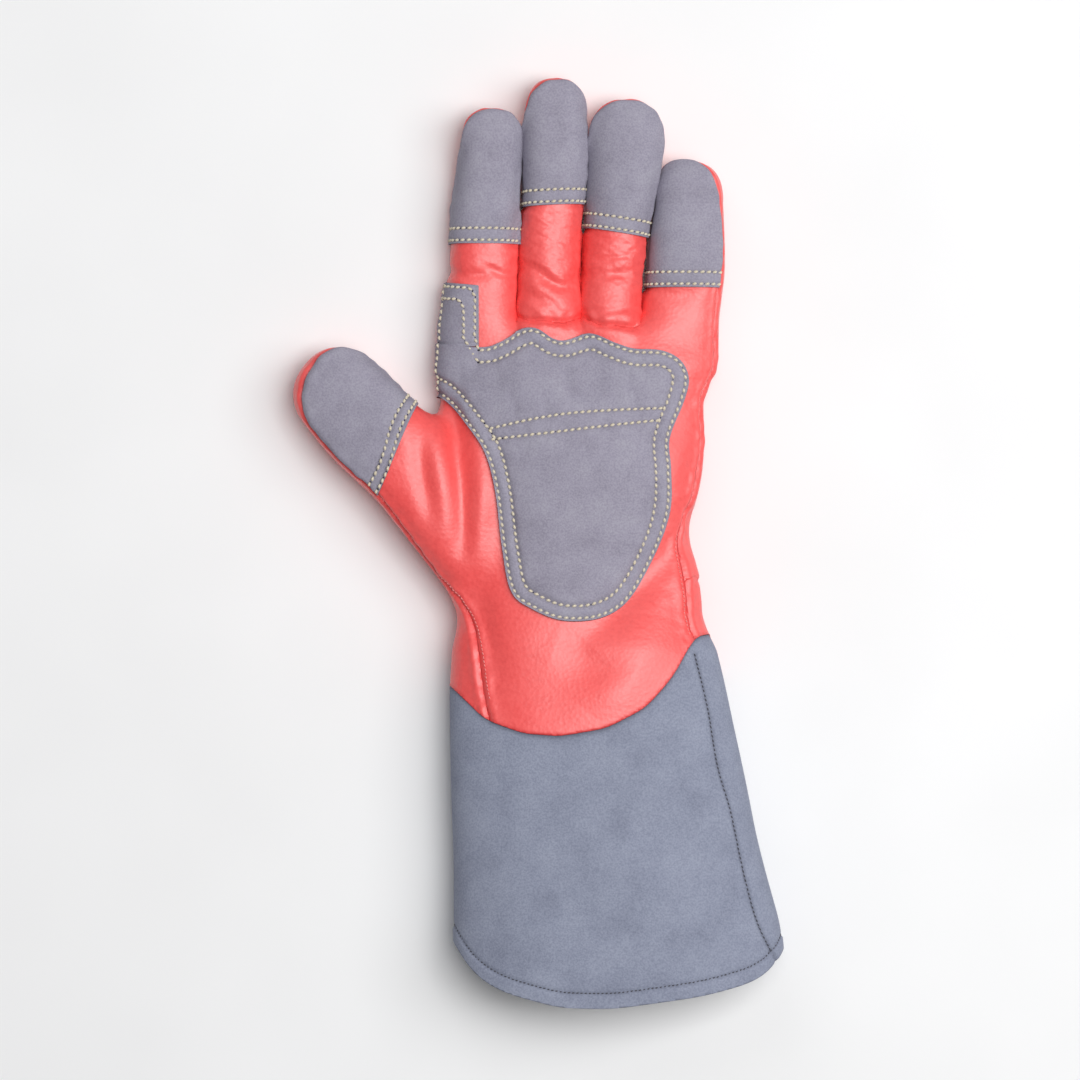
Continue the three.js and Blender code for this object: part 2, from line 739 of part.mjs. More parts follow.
// The cuff, with its hem folded inwards.
const readHem = (x) => -cuffLength * readRows(hemEdge, "across", x / mouthWidth, "along");
const hemColumns = columnsOf(hemEdge);
const cuffOuter = body(-cuffStep, inCuff, 0);
const cuffInner = body(-cuffStep - suedeWall, inCuff);
const hemInner = body(-cuffStep - suedeWall - hemFold, inCuff);
const belowHem = (grow) => belowEdge((x) => readHem(x) + grow, hemColumns);
const cuff = cuffOuter
  .subtract(cuffInner.subtract(belowHem(hemWidth)))
  .subtract(hemInner)
  .subtract(belowHem(0))
  .intersect(belowEdge(leatherEdge, edgeColumns));

const group = new THREE.Group();
const add = (name, made, colour, roughness) => group.add(piece(name, made, colour, roughness));
add("back_panel", largest(gathered.intersect(backOfHand(0))), leatherColour, 0.5);
add("palm_panel", largest(palm), leatherColour, 0.5);
for (const { name, front } of fingerFronts)
  add(`${name}_front`, largest(front), leatherColour, 0.5);
add("thumb_back", largest(gathered.subtract(backOfHand(gap))), leatherColour, 0.5);
add("wrist_yoke", largest(yoke), leatherColour, 0.5);
add("cuff", largest(cuff), cuffColour, 0.9);
for (const { name, made } of patches) add(`${name}_patch`, largest(made), suedeColour, 0.9);
add("palm_pad", largest(pad), suedeColour, 0.9);
add("index_tab", largest(tab), suedeColour, 0.9);
export default group;
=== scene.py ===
"""A left-hand rose pruning gauntlet, lying on its back with the palm up.

The hand is red leather with a gathered wrist, the cuff and the patches are grey suede. The skin
of the whole glove is one distance field, meshed once. Every panel is cut from that skin along
its own seams and given its wall, so neighbouring panels follow the same folds. Shapes are worked
out in millimetres in the CAD frame and written to the meshes in metres.
"""

import logging
import math
from dataclasses import dataclass, field
from enum import Enum

import bpy
import numpy as np
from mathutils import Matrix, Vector


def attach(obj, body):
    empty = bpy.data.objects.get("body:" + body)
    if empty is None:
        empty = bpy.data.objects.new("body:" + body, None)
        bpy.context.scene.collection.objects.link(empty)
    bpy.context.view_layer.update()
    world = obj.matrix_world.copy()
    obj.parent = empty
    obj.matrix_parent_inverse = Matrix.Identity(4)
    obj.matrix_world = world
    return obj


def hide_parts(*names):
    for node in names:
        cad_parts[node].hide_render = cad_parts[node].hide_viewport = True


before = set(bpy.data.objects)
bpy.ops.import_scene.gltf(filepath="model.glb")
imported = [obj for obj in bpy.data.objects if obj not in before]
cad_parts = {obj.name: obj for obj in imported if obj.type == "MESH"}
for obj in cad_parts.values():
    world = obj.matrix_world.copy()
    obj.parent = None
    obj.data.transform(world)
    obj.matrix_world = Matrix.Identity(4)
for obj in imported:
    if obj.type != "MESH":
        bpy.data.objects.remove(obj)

Array = np.ndarray
log = logging.getLogger("gauntlet")

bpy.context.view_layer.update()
MM = 0.001
BODY = "root"


def smooth(t: Array) -> Array:
    """Ease from 0 to 1 as t goes from 0 to 1: 3t squared less 2t cubed."""
    s = np.clip(t, 0.0, 1.0)
    return s * s * (3.0 - 2.0 * s)


def bell(t: Array) -> Array:
    """A bump of height 1 at t = 0: e to the minus t squared."""
    return np.exp(-t * t)


@dataclass(frozen=True)
class Bump:
    """A ridge or channel along a line: how high, how wide and how far from the line it stands."""

    height: float
    width: float
    at: float = 0.0

    def over(self, distance: Array) -> Array:
        """The bump at distances from the line: height times a bell of (distance - at) / width."""
        return self.height * bell((distance - self.at) / self.width)


def soft_min(a: Array, b: Array, reach: float) -> Array:
    """The smaller of two distances, blended where they differ by less than reach.

    Formula: min(a, b) less h squared times reach / 4, where h is 1 - |a - b| / reach, or 0.
    """
    h = np.maximum(reach - np.abs(a - b), 0.0) / reach
    return np.minimum(a, b) - h * h * reach * 0.25


def unit(v: Array) -> Array:
    """Vectors of a whole array, each divided by its length."""
    return v / np.maximum(np.linalg.norm(v, axis=-1, keepdims=True), 1e-9)


@dataclass(frozen=True)
class Table:
    """A short table with named columns, the first of which is the place along the piece."""

    columns: tuple[str, ...]
    rows: tuple[tuple[float, ...], ...]

    def read(self, name: str, place: Array, soften: float = 0.0) -> Array:
        """Read a column at places along the piece.

        Formula: straight lines between the rows, then averaged with a bell of width soften.

        Args:
            name: The column.
            place: Where to read it, in the unit of the first column.
            soften: The bell's width in that unit, or 0 for straight lines.

        Returns:
            The column's values, one for each place.
        """
        data = np.array(sorted(self.rows))
        column = data[:, self.columns.index(name)]
        if not soften:
            return np.interp(place, data[:, 0], column)
        margin = 4.0 * soften
        fine = np.linspace(data[0, 0] - margin, data[-1, 0] + margin, 600)
        step = fine[1] - fine[0]
        reach = np.arange(-int(margin / step), int(margin / step) + 1) * step
        weight = bell(reach / (1.4142 * soften))
        straight = np.interp(fine, data[:, 0], column)
        padded = np.pad(straight, len(reach) // 2, mode="edge")
        return np.interp(place, fine, np.convolve(padded, weight / weight.sum(), "valid"))


@dataclass(frozen=True)
class Sizes:
    """The driving sizes of the glove, in millimetres, as the CAD part has them."""

    palm_width: float = 116.4
    palm_height: float = 36.0
    hand_length: float = 130.0
    fingers_length: float = 103.0
    finger_height: float = 25.0
    knuckle_blend: float = 17.0
    finger_space: float = 2.9
    thumb_height: float = 26.0
    thumb_cap: float = 19.0
    cuff_length: float = 147.0
    mouth_width: float = 134.0
    mouth_height: float = 54.0
    mouth_shift: float = 15.5
    hem_width: float = 6.2
    wall: float = 1.5
    cuff_step: float = 0.5


SIZES = Sizes()

# Shares of hand_length, then of palm_width (left, right) and palm_height (high, squash).
HAND = Table(
    ("along", "left", "right", "high", "squash"),
    (
        (1.06, -0.43, 0.44, 0.56, 0.0),
        (1.0, -0.45, 0.455, 0.62, 0.0),
        (0.965, -0.472, 0.478, 0.7, 0.02),
        (0.91, -0.487, 0.492, 0.77, 0.03),
        (0.81, -0.485, 0.446, 0.88, 0.05),
        (0.76, -0.482, 0.424, 0.92, 0.05),
        (0.7, -0.478, 0.449, 0.96, 0.06),
        (0.6, -0.475, 0.448, 1.0, 0.06),
        (0.47, -0.476, 0.414, 1.02, 0.06),
        (0.37, -0.483, 0.383, 0.98, 0.04),
        (0.27, -0.496, 0.405, 0.98, 0.04),
        (0.16, -0.455, 0.422, 1.01, 0.05),
        (0.09, -0.426, 0.43, 1.08, 0.06),
    ),
)
# Shares of cuff_length below the wrist, then of mouth_width, mouth_shift and mouth_height.
CUFF = Table(
    ("along", "wide", "shift", "high", "squash"),
    (
        (-0.02, 0.798, 0.1, 0.74, 0.03),
        (0.095, 0.845, 0.19, 0.775, 0.04),
        (0.23, 0.872, 0.33, 0.82, 0.05),
        (0.5, 0.928, 0.62, 0.9, 0.06),
        (0.63, 0.964, 0.805, 0.94, 0.06),
        (0.765, 0.998, 0.98, 0.98, 0.06),
        (0.83, 1.003, 1.03, 1.0, 0.06),
        (1.2, 1.0, 1.07, 1.0, 0.06),
    ),
)
# Shares of fingers_length above the roots, then of palm_width: the lines where fingers meet.
EDGES = Table(
    ("along", "index", "middle", "ring", "little", "outside"),
    (
        (-0.17, -0.5, -0.222, 0.003, 0.2, 0.49),
        (0.0, -0.498, -0.222, 0.003, 0.208, 0.507),
        (0.24, -0.47, -0.218, 0.005, 0.236, 0.525),
        (0.4, -0.458, -0.213, 0.015, 0.252, 0.528),
        (0.52, -0.444, -0.207, 0.024, 0.268, 0.52),
        (0.69, -0.428, -0.201, 0.032, 0.292, 0.5),
        (0.84, -0.418, -0.203, 0.026, 0.296, 0.5),
    ),
)
# The share of the way from a finger's root to its rounded end, then shares of finger_height,
# the seam's angles round the finger in degrees, and its climb as a share of half the height.
FINGER = Table(
    ("at", "lift", "high", "left", "right", "rise"),
    (
        (-0.2, 0.06, 0.78, 196, 22, 0.0),
        (0.0, 0.0, 0.98, 197, 21, 0.0),
        (0.45, 0.02, 1.0, 200, 18, 0.01),
        (0.82, 0.09, 0.95, 197, 12, 0.14),
        (1.0, 0.13, 0.86, 190, 6, 0.4),
        (1.36, 0.13, 0.86, 190, 6, 1.15),
    ),
)
# The thumb from wrist to tip: shares of palm_width and hand_length for the centre line, of
# palm_width for its width, of thumb_height for lift and high, then its seams as above.
THUMB = Table(
    ("x", "y", "wide", "lift", "high", "left", "right", "rise"),
    (
        (-0.375, 0.275, 0.2, 0.12, 0.95, 158, -20, 0.0),
        (-0.435, 0.385, 0.33, 0.05, 1.22, 154, -30, 0.0),
        (-0.515, 0.487, 0.36, 0.08, 1.24, 150, -30, 0.0),
        (-0.618, 0.585, 0.345, 0.18, 1.1, 149, -24, 0.0),
        (-0.742, 0.682, 0.325, 0.26, 0.96, 149, -18, 0.0),
        (-0.848, 0.78, 0.315, 0.28, 0.84, 158, -8, 0.16),
    ),
)
# Where the side seams lie round the hand, in degrees, by shares of hand_length.
SEAMS = Table(
    ("along", "thumb_side", "outside"),
    (
        (-0.4, 128, 32),
        (-0.12, 138, 31),
        (0.0, 142, 31),
        (0.1, 153, 30),
        (0.22, 165, 29),
        (0.3, 169, 28),
        (0.37, 172, 23),
        (0.45, 174, 16),
        (0.6, 178, 12),
        (0.75, 186, 12),
        (0.85, 197, 14),
        (1.1, 197, 19),
    ),
)
# The same for the seam between the thumb's back and the back of the hand.
INNER_SEAM = Table(
    ("along", "angle"),
    (
        (-0.4, 182),
        (-0.12, 184),
        (0.0, 184),
        (0.1, 190),
        (0.22, 208),
        (0.37, 224),
        (0.6, 212),
        (0.75, 188),
    ),
)
# Shares of mouth_width and cuff_length: the leather's lower edge on each face, and the hem.
PALM_EDGE = Table(
    ("across", "along"),
    (
        (-0.5, 0.03),
        (-0.39, 0.12),
        (-0.29, 0.205),
        (-0.17, 0.243),
        (-0.06, 0.25),
        (0.08, 0.228),
        (0.2, 0.172),
        (0.29, 0.08),
        (0.35, -0.028),
        (0.5, -0.035),
    ),
)
BACK_EDGE = Table(
    ("across", "along"),
    (
        (-0.5, 0.0),
        (-0.39, 0.02),
        (-0.3, 0.065),
        (-0.2, 0.12),
        (-0.08, 0.19),
        (0.08, 0.226),
        (0.24, 0.2),
        (0.34, 0.15),
        (0.4, 0.07),
        (0.5, 0.0),
    ),
)
HEM = Table(
    ("across", "along"),
    (
        (-0.42, 0.74),
        (-0.386, 0.82),
        (-0.367, 0.865),
        (-0.325, 0.91),
        (-0.24, 0.955),
        (-0.06, 0.998),
        (0.1, 1.0),
        (0.37, 0.966),
        (0.52, 0.932),
        (0.6, 0.892),
        (0.632, 0.83),
        (0.66, 0.74),
    ),
)
HEM_SOFTEN = 0.035
# Shares of palm_height between which the leather's lower edge goes from the back's to the palm's.
EDGE_BLEND = (0.12, 0.5)


class Part(Enum):
    """The parts of the glove's form that a point of the skin can belong to."""

    BODY = 0
    INDEX = 1
    MIDDLE = 2
    RING = 3
    LITTLE = 4
    THUMB = 5


@dataclass(frozen=True)
class Finger:
    """One finger.

    It lies between two edge columns. Its tip, domed end and patch's edge are shares of
    fingers_length, slant is how that edge leans, lean how the tip's seam does, and
    climb how much of the seam's rise at the tip it has.
    """

    part: Part
    edges: tuple[str, str]
    tip: float
    cap: float
    lower: float
    slant: float
    lean: float
    climb: float


FINGERS = (
    Finger(Part.INDEX, ("index", "middle"), 0.873, 0.131, 0.538, 0.0, -0.35, 0.85),
    Finger(Part.MIDDLE, ("middle", "ring"), 1.0, 0.15, 0.512, 0.05, -0.45, 0.85),
    Finger(Part.RING, ("ring", "little"), 0.912, 0.146, 0.533, -0.16, -0.3, 0.8),
    Finger(Part.LITTLE, ("little", "outside"), 0.664, 0.165, 0.503, 0.0, 0.22, 0.4),
)


@dataclass(frozen=True)
class Section:
    """One rounded cross-section at each of many places: middle, half-sizes and seam angles."""

    x: Array
    z: Array
    a: Array
    b: Array
    left: Array
    right: Array
    rise: Array


def squircle(angle: Array, a: Array, b: Array, power: float) -> tuple[Array, Array]:
    """A point on a rounded section: a and b times cosine and sine to the power 2 / power."""
    turn = np.radians(angle)
    c, s = np.cos(turn), np.sin(turn)
    e = 2.0 / power
    return a * np.sign(c) * np.abs(c) ** e, b * np.sign(s) * np.abs(s) ** e


def section_distance(
    u: Array, w: Array, v: Array, a: Array, b: Array, cap: float, power: float
) -> Array:
    """Roughly how far a point is from a rounded tube with a domed end.

    Formula: k is (|u/a|^p + |w/b|^p + (v/cap)^p)^(1/p), and the distance is k - 1 over the
    length of k's slope.

    Args:
        u: Across the tube.
        w: Up from its middle.
        v: How far past the start of the domed end, or 0.
        a: Half width.
        b: Half height.
        cap: Length of the domed end.
        power: The section's squareness.

    Returns:
        The distance, less than 0 inside.
    """
    au, aw, av = np.abs(u) / a, np.abs(w) / b, np.maximum(v, 0.0) / cap
    k = np.maximum(au**power + aw**power + av**power, 1e-9) ** (1.0 / power)
    e = power - 1.0
    slope = k ** (-e) * np.sqrt((au**e / a) ** 2 + (aw**e / b) ** 2 + (av**e / cap) ** 2)
    return (k - 1.0) / np.maximum(slope, 0.25 / np.maximum(a, b))


@dataclass
class GloveForm:
    """The glove's undented outer form as distances from its parts, before seams and folds."""

    sizes: Sizes = SIZES
    body_power: float = 2.25
    finger_power: float = 2.45
    finger_blend: float = 7.0
    thumb_blend: float = 12.0
    floor_blend: float = 2.0
    soften: float = 5.0

    def body_section(self, y: Array) -> Section:
        """The sleeve's section at places along the glove, from the hand and cuff tables."""
        s = self.sizes
        hand, cuff = y / s.hand_length, -y / s.cuff_length
        soft_hand, soft_cuff = self.soften / s.hand_length, self.soften / s.cuff_length

        def of_hand(name: str) -> Array:
            """A column of the hand's table."""
            return HAND.read(name, hand, soft_hand)

        def of_cuff(name: str) -> Array:
            """A column of the cuff's table."""
            return CUFF.read(name, cuff, soft_cuff)

        share = smooth((y / s.hand_length + 0.03) / 0.14)
        left, right = of_hand("left") * s.palm_width, of_hand("right") * s.palm_width
        middle = of_cuff("shift") * s.mouth_shift
        half = of_cuff("wide") * s.mouth_width / 2
        left = share * left + (1 - share) * (middle - half)
        right = share * right + (1 - share) * (middle + half)
        high_hand, high_cuff = of_hand("high") * s.palm_height, of_cuff("high") * s.mouth_height
        b = (share * high_hand + (1 - share) * high_cuff) / 2
        squash_hand = of_hand("squash") * s.palm_height
        squash = share * squash_hand + (1 - share) * of_cuff("squash") * s.mouth_height
        thumb_side = SEAMS.read("thumb_side", hand, soft_hand)
        outside = SEAMS.read("outside", hand, soft_hand)
        middle, half = (left + right) / 2, (right - left) / 2
        return Section(middle, b - squash, half, b, thumb_side, outside, 0 * y)

    def finger_section(self, finger: Finger, y: Array) -> Section:
        """A finger's section at places along the glove."""
        s = self.sizes
        end = (finger.tip - finger.cap) * s.fingers_length
        rise = y - s.hand_length
        along = np.clip(rise, -s.knuckle_blend, end) / s.fingers_length
        left, right = (s.palm_width * EDGES.read(edge, along, 0.04) for edge in finger.edges)
        at = rise / end

        def read(name: str) -> Array:
            """A column of the finger's table."""
            return FINGER.read(name, at, 0.07)

        capped = FINGER.read("high", np.minimum(at, 1.0), 0.05) * s.finger_height / 2
        lift = FINGER.read("lift", np.minimum(at, 1.0), 0.05)
        slim = 1.0 - 0.14 * smooth(-rise / s.knuckle_blend)
        half = slim * (right - left - s.finger_space) / 2
        middle = capped + (lift - 0.03) * s.finger_height
        rise = finger.climb * read("rise")
        return Section((left + right) / 2, middle, half, capped, read("left"), read("right"), rise)

    def finger_cap(self, finger: Finger) -> tuple[float, float]:
        """Where a finger's domed end starts along the glove, and how long it is."""
        s = self.sizes
        cap = finger.cap * s.fingers_length
        return s.hand_length + finger.tip * s.fingers_length - cap, cap

    def thumb_axes(self) -> tuple[Array, Array, Array]:
        """The thumb's direction and its across direction in plan, and the rows' centres."""
        s = self.sizes
        rows = np.array(THUMB.rows)
        centres = rows[:, :2] * (s.palm_width, s.hand_length)
        way = unit(centres[-1] - centres[1])
        return way, np.array((way[1], -way[0])), centres

    def thumb_section(self, x: Array, y: Array) -> tuple[Array, Array, Section]:
        """The thumb's own coordinates of plan points, and its section there.

        Returns:
            How far along the thumb each point is, how far across it, and the sections.
        """
        s = self.sizes
        way, across, centres = self.thumb_axes()
        rows = np.array(THUMB.rows)
        stations = centres @ way
        bend = centres @ across
        along = x * way[0] + y * way[1]

        def read(values: Array) -> Array:
            """The thumb's values, read between its stations."""
            table = Table(("s", "v"), tuple(zip(stations, values)))
            return table.read("v", along, self.soften)

        half = read(rows[:, 2]) * s.palm_width / 2
        b = read(rows[:, 4]) * s.thumb_height / 2
        middle = b + read(rows[:, 3]) * s.thumb_height - 0.6
        angles = [read(rows[:, 5]), read(rows[:, 6])]
        past_end = np.clip((along - stations[-1]) / (1.6 * s.thumb_cap), 0, 2)
        climb = read(rows[:, 7]) + 0.75 * past_end
        u = x * across[0] + y * across[1] - read(bend)
        return along, u, Section(0 * x, middle, half, b, angles[0], angles[1], climb)

    def thumb_end(self) -> float:
        """How far along the thumb its domed end starts."""
        way, _, centres = self.thumb_axes()
        return float(centres[-1] @ way)

    def part_distances(self, p: Array) -> Array:
        """Distances of points from each part, as one row for each Part, in the Enum's order."""
        s = self.sizes
        x, y, z = p[..., 0], p[..., 1], p[..., 2]
        out = np.full((len(Part),) + x.shape, 1e3, dtype=x.dtype)
        near = y < s.hand_length + 12
        t = self.body_section(y[near])
        u, w, zero = x[near] - t.x, z[near] - t.z, np.zeros_like(t.a)
        sleeve = section_distance(u, w, zero, t.a, t.b, 1.0, self.body_power)
        end = y[near] - s.hand_length - 1.0
        out[0][near] = -soft_min(-sleeve, -end, 5.0)
        for finger in FINGERS:
            start, cap = self.finger_cap(finger)
            base = s.hand_length - s.knuckle_blend
            near = y > base - 12
            t = self.finger_section(finger, y[near])
            v = y[near] - start
            d = section_distance(x[near] - t.x, z[near] - t.z, v, t.a, t.b, cap, self.finger_power)
            out[finger.part.value][near] = -soft_min(-d, -(base - y[near]), 6.0)
        near = (x < -20) & (y > 10) & (y < 140)
        along, u, t = self.thumb_section(x[near], y[near])
        way, _, centres = self.thumb_axes()
        v = along - self.thumb_end()
        d = section_distance(u, z[near] - t.z, v, t.a, t.b, s.thumb_cap, self.finger_power)
        base = float(centres[0] @ way)
        out[Part.THUMB.value][near] = -soft_min(-d, -(base - along), 8.0)
        return out

    def distance(self, p: Array) -> Array:
        """The glove's distance field: its parts blended together and flattened on the floor."""
        parts = self.part_distances(p)
        fingers = soft_min(parts[0], parts[1], self.finger_blend)
        for finger in FINGERS[1:]:
            joined = soft_min(parts[0], parts[finger.part.value], self.finger_blend)
            fingers = np.minimum(fingers, joined)
        whole = soft_min(fingers, parts[Part.THUMB.value], self.thumb_blend)
        return -soft_min(-whole, p[..., 2], self.floor_blend)

    def slope(self, p: Array, step: float = 0.25) -> Array:
        """The field's slope at points, by differences of step to each side."""
        moves = np.eye(3) * step
        sides = [self.distance(p + m) - self.distance(p - m) for m in moves]
        return np.stack(sides, axis=-1) / (2 * step)

    def settle(self, p: Array, rounds: int = 3) -> Array:
        """Move points onto the skin: each round goes down the slope by the distance over it."""
        for _ in range(rounds):
            g = self.slope(p)
            size = np.maximum((g * g).sum(-1), 0.05)
            p = p - g * np.clip(self.distance(p) / size, -1.5, 1.5)[:, None]
        return p

    def cast(self, start: Array, way: Array, rounds: int = 40) -> Array:
        """Carry points outwards from inside the glove until they meet its skin.

        Args:
            start: Points inside.
            way: Unit directions.
            rounds: Steps, each as long as the distance that is left.

        Returns:
            The points on the skin.
        """
        p = start.copy()
        for _ in range(rounds):
            p = p + way * np.clip(-self.distance(p), -1.0, 6.0)[:, None] * 0.8
        return p

    def weights(self, p: Array) -> Array:
        """How much each part owns a point: e to the minus distance over 2.5 mm, adding up to 1."""
        d = self.part_distances(p)
        w = np.exp(-np.clip(d - d.min(axis=0), 0, 60) / 2.5)
        return w / w.sum(axis=0)

    def seam_height(self, p: Array) -> Array:
        """The height of the side seams over each point's place in plan.

        Formula: over each part a sheet through its two seam lines, and the sheets are averaged
        by how much each part owns the point.
        """
        x, y = p[:, 0], p[:, 1]
        t = self.body_section(y)
        rows = []
        for angle, side in ((t.left, -1.0), (t.right, 1.0)):
            u, w = squircle(angle, t.a, t.b, self.body_power)
            rows.append(t.z + w / np.abs(u) * np.maximum(side * (x - t.x), 0.0))
        sheets = [np.where(x < t.x, rows[0], rows[1])]
        for finger in FINGERS:
            t = self.finger_section(finger, y)
            start, cap = self.finger_cap(finger)
            lean = finger.lean * t.b * smooth((y - start + 1.3 * cap) / (1.6 * cap))
            side = np.clip((x - t.x) / t.a, -1, 1)
            outer = 0.22 * t.b * smooth((side - 0.2) / 0.8) if finger.part is Part.LITTLE else 0.0
            sheets.append(self._slanted(x - t.x, t) + lean * side + outer)
        _, u, t = self.thumb_section(x, y)
        sheets.append(self._slanted(u, t))
        return (self.weights(p) * np.stack(sheets)).sum(axis=0)

    def _slanted(self, u: Array, t: Section) -> Array:
        """A flat sheet through a digit's two seam lines, lifted by the seam's climb."""
        ends = []
        for angle in (t.left, t.right):
            ux, w = squircle(angle, t.a, t.b, self.finger_power)
            ends.append(w / np.abs(ux) * t.a)
        lean = np.clip(u / t.a, -1.3, 1.3)
        return t.z + t.rise * t.b + (ends[0] + ends[1]) / 2 + lean * (ends[1] - ends[0]) / 2


@dataclass
class Surface:
    """A triangle mesh of undented skin: points in millimetres and faces."""

    points: Array
    faces: Array

    def compact(self) -> "Surface":
        """The same surface without unused points."""
        used, faces = np.unique(self.faces, return_inverse=True)
        return Surface(self.points[used], faces.reshape(-1, 3))

    def keep(self, wanted: Array) -> "Surface":
        """The faces that have any wanted point."""
        return Surface(self.points, self.faces[wanted[self.faces].any(axis=1)]).compact()

    def finer(self) -> "Surface":
        """Each triangle split into four at the middles of its edges."""
        f = self.faces
        edges = np.sort(np.concatenate([f[:, (0, 1)], f[:, (1, 2)], f[:, (2, 0)]]), axis=1)
        pairs, index = np.unique(edges, axis=0, return_inverse=True)
        middles = self.points[pairs].mean(axis=1)
        m = index.reshape(3, -1).T + len(self.points)
        a, b, c = f.T
        ab, bc, ca = m.T
        faces = np.concatenate(
            [np.stack(t, axis=1) for t in ((a, ab, ca), (ab, b, bc), (ca, bc, c), (ab, bc, ca))]
        )
        return Surface(np.concatenate([self.points, middles]), faces)

    def cut(self, values: Array) -> "Surface":
        """Keep where a value at each point is over 0, with a clean edge along the 0 line.

        Formula: a new point on each edge that crosses 0, at the share v0 / (v0 - v1) of the
        edge, and each crossing triangle becomes one or two.
        """
        values = np.where(np.abs(values) < 1e-6, 1e-6, values)
        inside = values[self.faces] > 0
        count = inside.sum(axis=1)
        kept = [self.faces[count == 3]]
        points, start = [self.points], len(self.points)
        one, two = self.faces[count == 1], self.faces[count == 2]
        one = self._turned(one, values[one] > 0)
        two = self._turned(two, values[two] < 0)
        edges = np.concatenate([one[:, (0, 1)], one[:, (0, 2)], two[:, (0, 1)], two[:, (0, 2)]])
        if len(edges):
            pairs, index = np.unique(np.sort(edges, axis=1), axis=0, return_inverse=True)
            v = values[pairs]
            t = (v[:, 0] / (v[:, 0] - v[:, 1]))[:, None]
            points.append(self.points[pairs[:, 0]] * (1 - t) + self.points[pairs[:, 1]] * t)
            index = index.reshape(-1) + start
            n1, n2 = len(one), len(two)
            p, q = index[:n1], index[n1 : 2 * n1]
            kept.append(np.stack([one[:, 0], p, q], axis=1))
            p, q = index[2 * n1 : 2 * n1 + n2], index[2 * n1 + n2 :]
            kept.append(np.stack([p, two[:, 1], two[:, 2]], axis=1))
            kept.append(np.stack([p, two[:, 2], q], axis=1))
        return Surface(np.concatenate(points), np.concatenate(kept)).compact()

    @staticmethod
    def _turned(faces: Array, first: Array) -> Array:
        """Each face turned round so that its single marked corner comes first."""
        shift = first.argmax(axis=1)
        return np.take_along_axis(faces, (shift[:, None] + np.arange(3)) % 3, axis=1)

    def rim(self) -> Array:
        """The edges that only one face has, in that face's direction."""
        f = self.faces
        edges = np.concatenate([f[:, (0, 1)], f[:, (1, 2)], f[:, (2, 0)]])
        both_ways = np.sort(edges, axis=1)
        _, index, count = np.unique(both_ways, axis=0, return_inverse=True, return_counts=True)
        return edges[count[index.reshape(-1)] == 1]

    def trimmed(self, least: int = 60) -> "Surface":
        """The surface without loose crumbs of fewer than a given number of faces."""
        label = np.arange(len(self.points))
        for _ in range(400):
            low = label[self.faces].min(axis=1)
            new = label.copy()
            for corner in range(3):
                np.minimum.at(new, self.faces[:, corner], low)
            new = new[new]
            if (new == label).all():
                break
            label = new
        owner = label[self.faces[:, 0]]
        _, index, count = np.unique(owner, return_inverse=True, return_counts=True)
        return Surface(self.points, self.faces[count[index] >= least]).compact()


def surface_net(values: Array, origin: Array, step: float) -> Surface:
    """Mesh the 0 level of a field on a grid.

    Formula: one point in each cell that the level crosses, at the mean of the crossings on its
    edges, and one quad across each grid edge that the level crosses.

    Args:
        values: The field on a grid, less than 0 inside.
        origin: The grid's first corner.
        step: The grid's spacing.

    Returns:
        The surface, with each quad as two triangles that face outwards.
    """
    shape = np.array(values.shape)
    inside = values < 0
    sums = np.zeros((values.size, 3), dtype=np.float32)
    counts = np.zeros(values.size, dtype=np.int32)
    strides = np.array([shape[1] * shape[2], shape[2], 1])
    crossings = []
    for axis in range(3):
        others = [i for i in range(3) if i != axis]
        low = np.take(inside, range(shape[axis] - 1), axis=axis)
        high = np.take(inside, range(1, shape[axis]), axis=axis)
        ijk = np.argwhere(low != high)
        ijk = ijk[(ijk[:, others] > 0).all(axis=1)]
        start = ijk @ strides
        v0, v1 = values.reshape(-1)[start], values.reshape(-1)[start + strides[axis]]
        place = ijk.astype(np.float32)
        place[:, axis] += v0 / (v0 - v1)
        back, down = strides[others]
        cells = [start, start - back, start - back - down, start - down]
        for cell in cells:
            sums[cell] += place
            counts[cell] += 1
        crossings.append((cells, v0 < 0, axis))
    used = np.flatnonzero(counts)
    index = np.full(values.size, -1, dtype=np.int64)
    index[used] = np.arange(len(used))
    faces = []
    for cells, leaving, axis in crossings:
        quad = np.stack([index[c] for c in cells], axis=1)
        forward = leaving if axis != 1 else ~leaving
        quad = np.where(forward[:, None], quad[:, ::-1], quad)
        faces += [quad[:, (0, 1, 2)], quad[:, (0, 2, 3)]]
    points = origin + sums[used] / counts[used][:, None] * step
    return Surface(points.astype(np.float64), np.concatenate(faces))


def spline(points: Array, count: int, closed: bool = False) -> Array:
    """Points spaced evenly along a smooth curve through the given ones.

    Formula: Catmull-Rom pieces between neighbouring points, then even steps of arc length.
    """
    points = np.asarray(points, dtype=float)
    if closed:
        frame_points = np.concatenate([points[-1:], points, points[:2]])
    else:
        first, last = 2 * points[0] - points[1], 2 * points[-1] - points[-2]
        frame_points = np.concatenate([[first], points, [last]])
    a, b, c, d = (frame_points[i : len(frame_points) - 3 + i, None] for i in range(4))
    t = np.linspace(0, 1, 24, endpoint=False)[None, :, None]
    square, cube = 2 * a - 5 * b + 4 * c - d, 3 * b - a - 3 * c + d
    fine = 0.5 * (2 * b + (c - a) * t + square * t**2 + cube * t**3)
    fine = fine.reshape(-1, points.shape[1])
    fine = np.concatenate([fine, points[:1] if closed else points[-1:]])
    return resample(fine, count)


def run_length(line: Array) -> Array:
    """How far along a polyline each of its points is."""
    return np.concatenate([[0.0], np.cumsum(np.linalg.norm(np.diff(line, axis=0), axis=1))])


def resample(line: Array, count: int) -> Array:
    """Points at even steps of arc length along a polyline."""
    run = run_length(line)
    places = np.linspace(0, run[-1], count)
    return np.stack([np.interp(places, run, line[:, i]) for i in range(line.shape[1])], axis=1)


